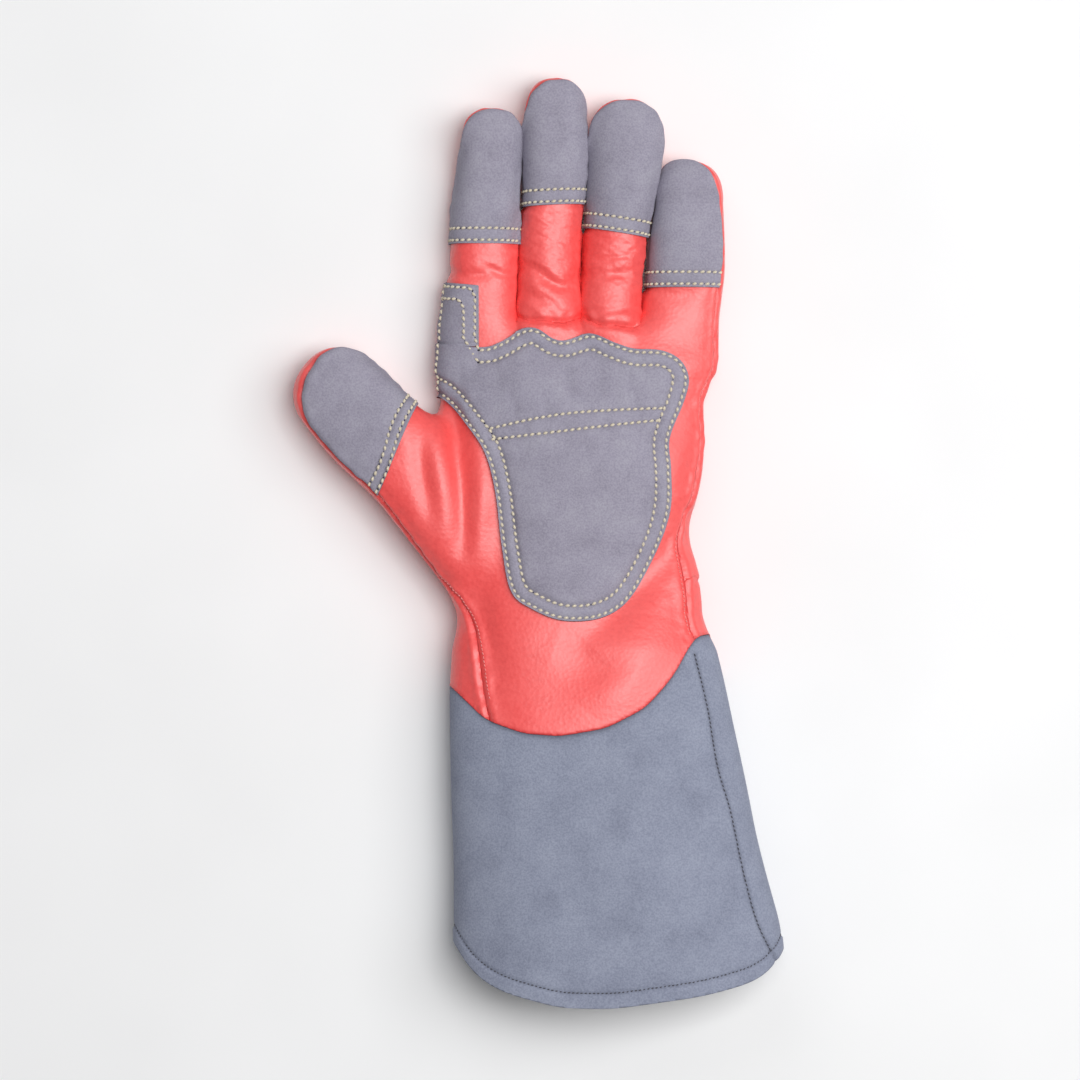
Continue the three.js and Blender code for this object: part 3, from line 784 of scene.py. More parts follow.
def path_length(line: Array) -> float:
    """The length of a polyline."""
    return float(np.linalg.norm(np.diff(line, axis=0), axis=1).sum())


def line_distance(x: Array, y: Array, line: Array) -> Array:
    """The distance in plan from each point to the nearest place of a polyline."""
    best = np.full(x.shape, 1e6)
    for (x0, y0), (x1, y1) in zip(line[:-1], line[1:]):
        dx, dy = x1 - x0, y1 - y0
        t = np.clip(((x - x0) * dx + (y - y0) * dy) / max(dx * dx + dy * dy, 1e-9), 0, 1)
        np.minimum(best, (x - x0 - t * dx) ** 2 + (y - y0 - t * dy) ** 2, out=best)
    return np.sqrt(best)


def within(x: Array, y: Array, outline: Array) -> Array:
    """The signed distance in plan to a closed outline, over 0 inside it."""
    inside = np.zeros(x.shape, dtype=bool)
    for (x0, y0), (x1, y1) in zip(outline, np.roll(outline, -1, axis=0)):
        crosses = (y0 > y) != (y1 > y)
        inside ^= crosses & (x < (x1 - x0) * (y - y0) / (y1 - y0 if y1 != y0 else 1e-9) + x0)
    distance = line_distance(x, y, np.concatenate([outline, outline[:1]]))
    return np.where(inside, distance, -distance)


@dataclass(frozen=True)
class Waves:
    """Soft unevenness: a seeded sum of plane waves of similar length, between about -1 and 1."""

    length: float
    seed: int
    count: int = 14
    stretch: tuple[float, float, float] = (1.0, 1.0, 1.0)

    def at(self, p: Array) -> Array:
        """The sum of sines of the points' products with random wave vectors, over root count."""
        rng = np.random.default_rng(self.seed)
        ways = unit(rng.normal(size=(self.count, 3))) * self.stretch
        vectors = ways * (2 * math.pi / (self.length * rng.uniform(0.7, 1.5, self.count)))[:, None]
        phases = rng.uniform(0, 2 * math.pi, self.count)
        return np.sin(p @ vectors.T + phases).sum(axis=1) / math.sqrt(self.count)


@dataclass(frozen=True)
class Fold:
    """A crease or a swelling along a curve in plan, in shares of palm_width and hand_length."""

    line: tuple[tuple[float, float], ...]
    depth: float
    width: float
    face: int = 1

    def sink(self, p: Array, sizes: Sizes) -> Array:
        """How deep it sinks the skin.

        Formula: depth times a bell of the distance over width, times the root of the sine of the
        half turn from one end of the line to the other.
        """
        line = spline(np.array(self.line) * (sizes.palm_width, sizes.hand_length), 16)
        reach = np.ptp(line[:, 1]) / 2 + 4 * self.width
        near = np.flatnonzero(np.abs(p[:, 1] - line[:, 1].mean()) < reach)
        out = np.zeros(len(p))
        way = line[-1] - line[0]
        along = np.clip((p[near, :2] - line[0]) @ way / (way @ way), 0, 1)
        fade = np.sqrt(np.sin(math.pi * (0.04 + 0.92 * along)))
        away = line_distance(p[near, 0], p[near, 1], line)
        out[near] = self.depth * fade * bell(away / self.width)
        return out


# Creases are over 0 deep, swellings under 0. The face is 1 for the palm's side, -1 for the back's.
FOLDS = (
    Fold(((-0.45, 0.78), (-0.43, 0.62), (-0.41, 0.5), (-0.408, 0.3)), 2.8, 4.2),
    Fold(((-0.375, 0.8), (-0.352, 0.62), (-0.345, 0.45), (-0.36, 0.26)), -2.0, 5.6),
    Fold(((-0.565, 0.7), (-0.55, 0.55), (-0.52, 0.4)), 1.4, 4.0),
    Fold(((-0.505, 0.68), (-0.49, 0.52), (-0.46, 0.36)), -1.2, 5.0),
    Fold(((0.39, 0.37), (0.33, 0.3), (0.22, 0.2), (0.1, 0.08), (0.02, 0.02)), 2.6, 7.0),
    Fold(((-0.08, 0.02), (0.04, -0.06), (0.2, -0.07)), 1.6, 9.0),
    Fold(((0.38, 0.22), (0.3, 0.1), (0.16, -0.1), (0.02, -0.2)), -1.8, 11.0),
    Fold(((-0.36, 0.2), (-0.34, 0.06), (-0.3, -0.1)), 1.6, 6.0),
    Fold(((0.37, 0.44), (0.4, 0.38), (0.385, 0.3)), 1.5, 3.2),
    Fold(((0.42, 0.62), (0.4, 0.55), (0.37, 0.5)), 1.1, 3.4),
    Fold(((-0.5, 1.19), (-0.4, 1.165), (-0.3, 1.172)), 1.1, 2.2),
    Fold(((-0.34, 1.2), (-0.26, 1.165), (-0.235, 1.17)), 0.7, 1.6),
    Fold(((-0.215, 1.2), (-0.16, 1.185), (-0.1, 1.145), (-0.05, 1.13), (0.0, 1.165)), 1.6, 2.6),
    Fold(((-0.2, 1.12), (-0.15, 1.09), (-0.09, 1.03)), 0.8, 2.2),
    Fold(((-0.13, 1.1), (-0.08, 1.06), (-0.045, 1.0)), 0.7, 1.8),
    Fold(((0.02, 1.17), (0.1, 1.165), (0.19, 1.175)), 1.0, 2.2),
    Fold(((0.02, 1.055), (0.1, 1.05), (0.17, 1.06)), 0.8, 2.0),
    Fold(((0.04, 1.215), (0.12, 1.22), (0.18, 1.225)), 0.5, 1.4),
    Fold(((0.25, 1.13), (0.33, 1.1), (0.42, 1.11)), 0.8, 4.0),
    Fold(((-0.5, 1.2), (-0.4, 1.17), (-0.26, 1.18)), 1.2, 2.6, -1),
    Fold(((-0.2, 1.24), (-0.11, 1.22), (-0.02, 1.235)), 1.2, 2.6, -1),
    Fold(((0.02, 1.2), (0.1, 1.185), (0.2, 1.2)), 1.2, 2.6, -1),
    Fold(((0.26, 1.12), (0.36, 1.11), (0.48, 1.13)), 1.2, 2.6, -1),
    Fold(((-0.12, 0.42), (-0.2, 0.62), (-0.31, 0.86)), 1.5, 4.0, -1),
    Fold(((0.02, 0.4), (-0.02, 0.62), (-0.08, 0.88)), 1.3, 4.0, -1),
    Fold(((0.16, 0.36), (0.17, 0.58), (0.12, 0.84)), 1.3, 4.0, -1),
    Fold(((0.28, 0.33), (0.33, 0.55), (0.34, 0.76)), 1.2, 4.0, -1),
)


# Shares of palm_width and hand_length: the seam that gathers the hand's back onto the yoke.
GATHER_SEAM = Table(("across", "along"), ((-0.6, 0.02), (-0.4, 0.375), (0.5, 0.173)))


@dataclass(frozen=True)
class Gathers:
    """The folds of the back where it is gathered onto the yoke, in millimetres.

    The folds are a pitch apart, uneven by drift over a length of drift_length. Zigzag is the
    height of the seam's teeth, above and below are how far the folds reach from the seam.
    """

    pitch: float = 11.0
    drift: float = 1.6
    drift_length: float = 17.0
    depth: float = 3.4
    zigzag: float = 2.6
    above: float = 24.0
    below: float = 13.0

    def phase(self, x: Array) -> Array:
        """Which part of a fold a place across the hand is in, in radians."""
        uneven = x + self.drift * np.sin(x / self.drift_length)
        return 2 * math.pi * uneven / self.pitch

    def seam_at(self, x: Array, sizes: Sizes) -> Array:
        """Where the gathering seam lies along the glove: its table's line with a zigzag on it."""
        line = sizes.hand_length * GATHER_SEAM.read("along", x / sizes.palm_width, 0.02)
        teeth = np.arcsin(0.94 * np.sin(self.phase(x))) / 1.22
        return line + self.zigzag * teeth * smooth((x + 54) / 12)

    def sink(self, p: Array, away: Array) -> Array:
        """How deep the folds sink the back.

        Formula: depth times one less the cosine of the phase, sharpened, times a bell of the
        distance from the seam, longer above it; above it the folds also lean and fan out.

        Args:
            p: Points.
            away: How far they lie over the gathering seam.

        Returns:
            The depths.
        """
        over = np.maximum(away, 0)
        fan = p[:, 0] * (1 - 0.003 * over) + 0.12 * over
        upper = (0.5 - 0.5 * np.sin(self.phase(fan))) ** 1.4 * bell(away / self.above)
        lower = (0.5 + 0.5 * np.sin(self.phase(p[:, 0]))) ** 1.6 * bell(away / self.below)
        share = smooth(away / 3.0 + 0.5)
        ends = smooth((p[:, 0] + 52) / 10) * smooth((56 - p[:, 0]) / 8)
        return self.depth * ends * (share * upper + 0.7 * (1 - share) * lower)


@dataclass
class Fields:
    """What the seams and edges of the glove say about each of a surface's points."""

    seam: Array
    back_seam: Array
    border: Array
    hem: Array
    gathers: Array
    weights: Array
    normal: Array


# The palm pad's outline from the corner beside the tab: shares of its width and length from its
# centre.
PAD = (
    (-0.34, 0.436),
    (-0.26, 0.45),
    (-0.17, 0.49),
    (-0.105, 0.498),
    (-0.04, 0.464),
    (0.01, 0.458),
    (0.115, 0.48),
    (0.21, 0.448),
    (0.29, 0.424),
    (0.4, 0.42),
    (0.47, 0.388),
    (0.499, 0.33),
    (0.478, 0.24),
    (0.427, 0.12),
    (0.43, 0.02),
    (0.424, -0.12),
    (0.37, -0.27),
    (0.27, -0.42),
    (0.15, -0.487),
    (0.0, -0.498),
    (-0.12, -0.46),
    (-0.205, -0.4),
    (-0.245, -0.25),
    (-0.27, -0.07),
    (-0.31, 0.07),
    (-0.38, 0.165),
    (-0.47, 0.255),
    (-0.57, 0.33),
    (-0.6, 0.45),
)


@dataclass(frozen=True)
class PadPlan:
    """The palm pad and the tab above it, seen in plan, in millimetres."""

    width: float = 101.4
    length: float = 119.8
    centre: tuple[float, float] = (-6.8, 69.6)
    edge_row: float = 1.2
    inner_row: float = 6.2
    tab_width: float = 16.4
    tab_length: float = 25.0
    tab_tilt: float = 1.6
    tab_gap: float = 0.4

    def outline(self, inset: float = 0.0) -> Array:
        """The pad's outline as a closed curve, moved in by inset along its normals."""
        rows = np.array(PAD) * (self.width, self.length) + self.centre
        curve = spline(rows, 260, closed=True)[:-1]
        ahead = np.roll(curve, -2, axis=0) - np.roll(curve, 2, axis=0)
        inwards = unit(np.stack([ahead[:, 1], -ahead[:, 0]], axis=1))
        moved = curve + inwards * inset
        return moved[within(moved[:, 0], moved[:, 1], curve) > 0.93 * inset] if inset else curve

    def corner(self) -> tuple[float, float]:
        """The place where the tab's inner side meets the pad's upper edge."""
        return self.centre[0] + PAD[0][0] * self.width, self.centre[1] + PAD[0][1] * self.length

    def rounds(self) -> list[Array]:
        """The double row round the pad, open where the tab's own rows go on."""
        x, y = self.corner()
        rows = []
        for inset in (self.edge_row, self.inner_row):
            row = self.outline(inset)
            beyond = np.flatnonzero((row[:, 0] < x - inset) & (row[:, 1] > y - 12))
            rows.append(row[: beyond[0]])
        return rows

    def band(self) -> tuple[Array, Array]:
        """The two rows of stitches that cross the pad, from its thumb side to its outer side."""
        left, right = self.centre[0] - 0.29 * self.width, self.centre[0] + 0.392 * self.width
        low = ((left, 83.9), (left + 24, 86.5), (left + 46, 89.2), (right, 91.9))
        high = ((left - 0.8, 88.2), (left + 17, 92.0), (left + 38, 95.0), (right + 1.2, 96.8))
        return spline(low, 60), spline(high, 60)

    def tab(self) -> Array:
        """The tab's outline: its slanting top, its straight inner side and a far outer side."""
        right, low = self.corner()
        low += self.tab_gap
        top = low + self.tab_length
        outer, lifted = right - 2 * self.tab_width, top + 2 * self.tab_tilt
        return np.array(((outer, low), (right, low), (right, top), (outer, lifted)))


# Ridges and grooves of the skin in millimetres: along the side seams, along the seam between the
# thumb's back and the hand's, and along the seam that gathers the back onto the yoke.
SEAM_LIP = Bump(0.55, 1.4, 1.9)
SEAM_GROOVE = Bump(0.6, 0.9)
SEAM_PUCKER = Bump(0.2, 4.5)
INNER_GROOVE = Bump(0.9, 1.1)
YOKE_GROOVE = Bump(1.0, 0.9)
YOKE_LIP = Bump(0.5, 1.5, 2.2)
# How far the bare sides of the fingers stand out, in millimetres.
FINGER_FULLNESS = 1.35
# How far the thumb's patch reaches back from the tip and where across the thumb that is, in
# millimetres, and the slant of its edge.
THUMB_PATCH_LENGTH = 50.0
THUMB_PATCH_MIDDLE = 4.0
THUMB_PATCH_SLANT = 0.44


@dataclass
class Glove:
    """The glove's skin and everything that its pieces are cut and shaped by.

    The grid for the skin fills box in steps of step, moved by shift. The field is read at every
    skip-th place first, then everywhere within band steps of the skin.
    """

    form: GloveForm = field(default_factory=GloveForm)
    gathers: Gathers = field(default_factory=Gathers)
    pad: PadPlan = field(default_factory=PadPlan)
    box: tuple = ((-122.0, -158.0, -2.5), (92.0, 238.0, 60.0))
    step: float = 1.0
    shift: float = 0.013
    skip: int = 4
    band: float = 6.5
    skin: Surface | None = None

    def mesh(self) -> None:
        """Mesh the whole skin on a grid and move its points onto the form."""
        axes = [np.arange(low, high, self.step) + self.shift for low, high in zip(*self.box)]
        wide = [a[:: self.skip] for a in axes]
        rough = self.form.distance(np.stack(np.meshgrid(*wide, indexing="ij"), -1))
        nearest = [(np.arange(len(a)) + self.skip // 2) // self.skip for a in axes]
        index = np.ix_(*(np.minimum(i, len(a) - 1) for i, a in zip(nearest, wide)))
        values = rough[index].astype(np.float32)
        near = np.argwhere(np.abs(values) < self.band * self.step)
        points = np.stack([axis[i] for axis, i in zip(axes, near.T)], axis=1)
        values[tuple(near.T)] = self.form.distance(points)
        net = surface_net(values, np.array([a[0] for a in axes]), self.step)
        self.skin = Surface(self.form.settle(net.points), net.faces)

    def seam(self, p: Array) -> Array:
        """How far points lie over the side seams, towards the palm's side."""
        return p[:, 2] - self.form.seam_height(p)

    def back_seam(self, p: Array) -> Array:
        """How far points lie from the seam between the thumb's back and the hand's."""
        s = self.form.sizes
        y = np.minimum(p[:, 1], s.hand_length)
        t = self.form.body_section(y)
        angle = INNER_SEAM.read("angle", np.minimum(y / s.hand_length, 0.75), 0.03)
        inner, _ = squircle(angle, t.a, t.b, self.form.body_power)
        return p[:, 0] - t.x - inner

    def border(self, p: Array) -> Array:
        """How far points lie over the leather's lower edge, along the glove.

        Formula: y less a blend, by height, of the edge curves of the back and of the palm.
        """
        s = self.form.sizes
        share = smooth((p[:, 2] / s.palm_height - EDGE_BLEND[0]) / (EDGE_BLEND[1] - EDGE_BLEND[0]))
        across = p[:, 0] / s.mouth_width
        back, palm = BACK_EDGE.read("along", across, 0.02), PALM_EDGE.read("along", across, 0.02)
        return p[:, 1] + s.cuff_length * (share * palm + (1 - share) * back)

    def hem(self, p: Array) -> Array:
        """How far points lie over the hem's edge, along the glove."""
        s = self.form.sizes
        return p[:, 1] + s.cuff_length * HEM.read("along", p[:, 0] / s.mouth_width, HEM_SOFTEN)

    def above_gathers(self, p: Array) -> Array:
        """How far points lie over the gathering seam, along the glove."""
        return p[:, 1] - self.gathers.seam_at(p[:, 0], self.form.sizes)

    def fields(self, p: Array) -> Fields:
        """The seam, edge and part values at points."""
        return Fields(
            seam=self.seam(p),
            back_seam=self.back_seam(p),
            border=self.border(p),
            hem=self.hem(p),
            gathers=self.above_gathers(p),
            weights=self.form.weights(p),
            normal=unit(self.form.slope(p)),
        )

    def patch_base(self, finger: Finger, x: Array) -> Array:
        """Where a finger's patch starts along the glove, at places across it."""
        s = self.form.sizes
        start = s.hand_length + (finger.tip - finger.lower) * s.fingers_length
        t = self.form.finger_section(finger, np.atleast_1d(start))
        return start + finger.slant * (x - t.x[0])

    def patched(self, p: Array) -> Array:
        """How far points lie into their finger's patch, along the glove."""
        s = self.form.sizes
        along = (p[:, 1] - s.hand_length) / s.fingers_length
        best = np.full(len(p), -1e3)
        for finger in FINGERS:
            left, right = (EDGES.read(edge, along) * s.palm_width for edge in finger.edges)
            own = (p[:, 0] > left - 2) & (p[:, 0] < right + 2)
            best = np.where(own, p[:, 1] - self.patch_base(finger, p[:, 0]), best)
        return best

    def thumb_patch(self, p: Array) -> Array:
        """How far points lie into the thumb's patch, along the thumb."""
        along, u, _ = self.form.thumb_section(p[:, 0], p[:, 1])
        start = self.form.thumb_end() + self.form.sizes.thumb_cap - THUMB_PATCH_LENGTH
        return along - start - THUMB_PATCH_SLANT * (u - THUMB_PATCH_MIDDLE)

    def relief(self, p: Array, f: Fields) -> Array:
        """How far seams, folds, gathers and unevenness raise the skin along its normal.

        Formula: the sum of bells along the seams, less the folds and the gathers, plus a fuller
        shape of the uncovered finger sides and low waves. Up is 1 on the palm's side and leather
        is 1 above the cuff.
        """
        x, y, _ = p.T
        up = smooth((f.normal[:, 2] + 0.35) / 0.7)
        leather = smooth(f.border / 1.5 + 0.5)
        lips = SEAM_LIP.over(np.abs(f.seam)) - SEAM_GROOVE.over(f.seam)
        puckers = Waves(5.5, 41).at(p) * SEAM_PUCKER.over(f.seam)
        out = leather * (lips + puckers)
        below = smooth(-f.seam / 2.0)
        beside = (y < 97) & (x < 10) & (f.gathers > 0)
        out -= np.where(beside, leather * below * INNER_GROOVE.over(f.back_seam), 0)
        for fold in FOLDS:
            side = up if fold.face > 0 else 1 - up
            out -= side * fold.sink(p, self.form.sizes)
        out -= (1 - up) * leather * self.gathers.sink(p, f.gathers)
        sewn = YOKE_GROOVE.over(f.gathers) - YOKE_LIP.over(f.gathers)
        out -= smooth(-(f.seam + 4) / 8) * leather * (x > -62) * sewn
        bare = 1 - smooth(self.patched(p) / 3.0 + 1)
        digits = 1 - f.weights[Part.THUMB.value]
        between = smooth((x + 50) / 6) * smooth((56 - x) / 6)
        full = FINGER_FULLNESS * smooth((y - 126) / 9) * digits * bare * between
        out += full * (1 - np.abs(f.normal[:, 2])) * smooth((f.seam + 5) / 5)
        for front in FRONTS:
            out += up * front.swelling(self, p)
        wrinkled = smooth((y - 138) / 14) * digits * bare * up
        out += 0.07 * wrinkled * Waves(3.0, 31, 30, (0.7, 1.1, 0.6)).at(p)
        out += 0.12 * wrinkled * Waves(9, 37, 22, (0.8, 1.1, 0.6)).at(p)
        out += (0.35 + 0.35 * leather) * Waves(42, 5).at(p) + 0.05 * leather * Waves(16, 9).at(p)
        out += (1 - leather) * 0.5 * Waves(60, 17).at(p)
        return out


class Finish:
    """A surface finish that can build its material."""

    name: str

    def material(self) -> bpy.types.Material:
        """Build the finish's material, or return the one already built."""
        found = bpy.data.materials.get(self.name)
        if found:
            return found
        made = bpy.data.materials.new(self.name)
        made.use_nodes = True
        made.node_tree.nodes.clear()
        self.wire(Nodes(made.node_tree))
        return made

    def wire(self, nodes: "Nodes") -> None:
        """Add the finish's shader nodes."""
        raise NotImplementedError


@dataclass
class Nodes:
    """A short way to add and link shader nodes."""

    tree: bpy.types.NodeTree

    def add(self, kind: str, inputs: dict | None = None, **settings: object) -> bpy.types.Node:
        """Add a node.

        Args:
            kind: The node type without its ShaderNode prefix.
            inputs: Values or sockets to link, by input name or index.
            **settings: The node's own properties.

        Returns:
            The node.
        """
        node = self.tree.nodes.new("ShaderNode" + kind)
        for key, value in settings.items():
            setattr(node, key, value)
        for key, value in (inputs or {}).items():
            if isinstance(value, bpy.types.NodeSocket):
                self.tree.links.new(value, node.inputs[key])
            else:
                node.inputs[key].default_value = value
        return node

    def noise(
        self, scale: float, detail: float = 3.0, stretch: tuple = (1, 1, 1), rough: float = 0.55
    ) -> bpy.types.NodeSocket:
        """Noise on the object's own coordinates, in metres, stretched along its axes."""
        place = self.add("TexCoord").outputs["Object"]
        moved = self.add("Mapping", {"Vector": place, "Scale": stretch}).outputs[0]
        settings = {"Vector": moved, "Scale": scale, "Detail": detail, "Roughness": rough}
        return self.add("TexNoise", settings).outputs["Fac"]

    def math(self, operation: str, *values: object) -> bpy.types.NodeSocket:
        """A sum, product or other operation of two values."""
        return self.add("Math", dict(enumerate(values)), operation=operation).outputs[0]

    def ramp(self, value: bpy.types.NodeSocket, stops: tuple) -> bpy.types.NodeSocket:
        """A colour read from a value: stops are (place, colour) pairs."""
        node = self.add("ValToRGB", {"Fac": value})
        elements = node.color_ramp.elements
        while len(elements) < len(stops):
            elements.new(0.5)
        for element, (place, colour) in zip(elements, stops):
            element.position = place
            element.color = (*colour, 1)
        return node.outputs["Color"]

    def mix(self, share: object, a: object, b: object) -> bpy.types.NodeSocket:
        """One colour turned into another by a share."""
        node = self.add("Mix", {0: share, 6: a, 7: b}, data_type="RGBA")
        return node.outputs[2]

    def attribute(self, name: str) -> bpy.types.NodeSocket:
        """A value stored on the mesh's points."""
        return self.add("Attribute", attribute_name=name).outputs["Fac"]

    def bump(
        self, height: bpy.types.NodeSocket, distance: float, strength: float, under: object = None
    ) -> bpy.types.NodeSocket:
        """A normal bent by a height, on top of another such normal."""
        inputs = {"Height": height, "Distance": distance, "Strength": strength}
        if under is not None:
            inputs["Normal"] = under
        return self.add("Bump", inputs).outputs[0]

    def shader(self, **inputs: object) -> bpy.types.Node:
        """A principled shader joined to the output. Input names have _ for their spaces."""
        named = {key.replace("_", " "): value for key, value in inputs.items()}
        made = self.add("BsdfPrincipled", named)
        self.add("OutputMaterial", {"Surface": made.outputs[0]})
        return made


@dataclass(frozen=True)
class Leather(Finish):
    """Soft dyed leather with a fine grain, faint wrinkles and a low gloss."""

    name: str
    colour: tuple[float, float, float]
    deep: tuple[float, float, float]
    worn: tuple[float, float, float]
    roughness: float = 0.42

    def wire(self, nodes: Nodes) -> None:
        """Colour from low noise and painted shade; relief from pores, short wrinkles and soft
        lumps.
        """
        broad = nodes.noise(24, 3)
        fine = nodes.noise(520, 5)
        tone = nodes.ramp(broad, ((0.3, self.colour), (0.75, self.worn)))
        speck = nodes.ramp(fine, ((0.32, self.deep), (0.6, self.colour)))
        colour = nodes.mix(0.2, tone, speck)
        # Painted shade: the colour turns to deep in seam grooves, sewn channels and at edges.
        painted_shade = nodes.attribute("painted_shade")
        colour = nodes.mix(painted_shade, colour, (*self.deep, 1))
        place = nodes.add("TexCoord").outputs["Object"]
        pores = nodes.add("TexVoronoi", {"Vector": place, "Scale": 620.0}).outputs["Distance"]
        wrinkle = nodes.noise(210, 5, (0.6, 1.5, 1.0), 0.66)
        soft = nodes.noise(70, 2)
        normal = nodes.bump(soft, 0.0012, 0.1)
        normal = nodes.bump(wrinkle, 0.0004, 0.4, normal)
        normal = nodes.bump(pores, 0.00016, 0.5, normal)
        rough = nodes.math("MULTIPLY_ADD", fine, 0.2, self.roughness - 0.08)
        nodes.shader(
            Base_Color=colour,
            Roughness=rough,
            Normal=normal,
            Coat_Weight=0.2,
            Coat_Roughness=0.42,
            Specular_IOR_Level=0.75,
        )


@dataclass(frozen=True)
class Suede(Finish):
    """Brushed grey split leather: a short nap in faint clouds, dull, with a soft sheen.

    Cloud is the scale of the clouds' noise, for each metre.
    """

    name: str
    colour: tuple[float, float, float]
    deep: tuple[float, float, float]
    light: tuple[float, float, float]
    cloud: float = 55.0

    def wire(self, nodes: Nodes) -> None:
        """Colour from two sizes of noise, with painted shade where sewn down; relief from nap and
        fibres.
        """
        clouds = nodes.noise(self.cloud, 6)
        nap = nodes.noise(1300, 5)
        grain = nodes.noise(3000, 3)
        colour = nodes.ramp(clouds, ((0.3, self.deep), (0.5, self.colour), (0.7, self.light)))
        speck = nodes.ramp(nap, ((0.36, self.deep), (0.5, self.colour), (0.64, self.light)))
        colour = nodes.mix(0.55, colour, speck)
        # Painted shade: the colour turns darker in sewn channels, seams and under edges.
        painted_shade = nodes.attribute("painted_shade")
        colour = nodes.mix(painted_shade, colour, (*(0.42 * c for c in self.deep), 1))
        normal = nodes.bump(clouds, 0.0012, 0.1)
        normal = nodes.bump(nap, 0.0002, 0.4, normal)
        normal = nodes.bump(grain, 0.0001, 0.4, normal)
        nodes.shader(
            Base_Color=colour,
            Roughness=0.93,
            Normal=normal,
            Sheen_Weight=0.07,
            Sheen_Roughness=0.5,
            Sheen_Tint=(0.8, 0.82, 0.9, 1),
            Specular_IOR_Level=0.18,
        )


@dataclass(frozen=True)
class Thread(Finish):
    """Twisted sewing thread."""

    name: str
    colour: tuple[float, float, float]
    shade: tuple[float, float, float]

    def wire(self, nodes: Nodes) -> None:
        """Colour and relief from fine noise that follows the twist."""
        twist = nodes.noise(2400, 3)
        colour = nodes.ramp(twist, ((0.3, self.shade), (0.6, self.colour)))
        normal = nodes.bump(twist, 0.0002, 0.6)
        nodes.shader(Base_Color=colour, Roughness=0.75, Normal=normal, Sheen_Weight=0.15)


@dataclass(frozen=True)
class Plain(Finish):
    """A dull finish for the floor and for the painted shade of needle holes, with a trace of
    unevenness.
    """

    name: str
    colour: tuple[float, float, float]
    roughness: float = 0.9

    def wire(self, nodes: Nodes) -> None:
        """One colour, a touch lighter and darker by low noise."""
        low = tuple(0.96 * c for c in self.colour)
        colour = nodes.ramp(nodes.noise(9, 2), ((0.3, low), (0.7, self.colour)))
        nodes.shader(Base_Color=colour, Roughness=self.roughness)


RED = Leather("dyed_leather", (0.97, 0.092, 0.087), (0.62, 0.012, 0.014), (0.97, 0.14, 0.132), 0.42)
RED_RAW = Suede("dyed_leather_flesh", (0.6, 0.12, 0.105), (0.4, 0.05, 0.045), (0.7, 0.22, 0.19))
PATCH = Suede(
    "brushed_patch", (0.322, 0.302, 0.375), (0.25, 0.232, 0.292), (0.38, 0.365, 0.43), cloud=90.0
)
SLEEVE = Suede(
    "brushed_sleeve", (0.262, 0.285, 0.37), (0.19, 0.207, 0.277), (0.32, 0.345, 0.435), cloud=75.0
)
GREY_RAW = Suede("brushed_flesh", (0.22, 0.215, 0.24), (0.16, 0.155, 0.18), (0.3, 0.295, 0.32))
CREAM = Thread("cream_thread", (0.8, 0.72, 0.55), (0.5, 0.43, 0.31))
DARK = Thread("dark_thread", (0.07, 0.072, 0.09), (0.03, 0.03, 0.04))
ROSE = Thread("rose_thread", (0.95, 0.36, 0.34), (0.7, 0.1, 0.1))
# Painted shade: dark domes stand for the shade inside the needle holes.
HOLE_SHADE = Plain("needle_hole_shade", (0.03, 0.024, 0.04))
FLOOR = Plain("floor", (0.93, 0.93, 0.93), 0.8)


def make_object(
    name: str, points: Array, faces: Array, finishes: tuple, slots: Array, values: dict
) -> bpy.types.Object:
    """Make a smooth mesh object from arrays.

    Args:
        name: The object's name.
        points: Corners in millimetres.
        faces: Triangles or quads.
        finishes: The finishes, in the order of the slots.
        slots: Which finish each face has.
        values: Named values for each point.

    Returns:
        The object.
    """
    mesh = bpy.data.meshes.new(name)
    mesh.vertices.add(len(points))
    mesh.vertices.foreach_set("co", (points * MM).astype(np.float32).reshape(-1))
    sides = faces.shape[1]
    mesh.loops.add(faces.size)
    mesh.loops.foreach_set("vertex_index", faces.astype(np.int32).reshape(-1))
    mesh.polygons.add(len(faces))
    mesh.polygons.foreach_set("loop_start", np.arange(0, faces.size, sides, dtype=np.int32))
    mesh.polygons.foreach_set("material_index", slots.astype(np.int32))
    mesh.update(calc_edges=True)
    mesh.shade_smooth()
    for key, value in values.items():
        stored = mesh.attributes.new(key, "FLOAT", "POINT")
        stored.data.foreach_set("value", value.astype(np.float32))
    for finish in finishes:
        mesh.materials.append(finish.material())
    made = bpy.data.objects.new(name, mesh)
    bpy.context.scene.collection.objects.link(made)
    return made


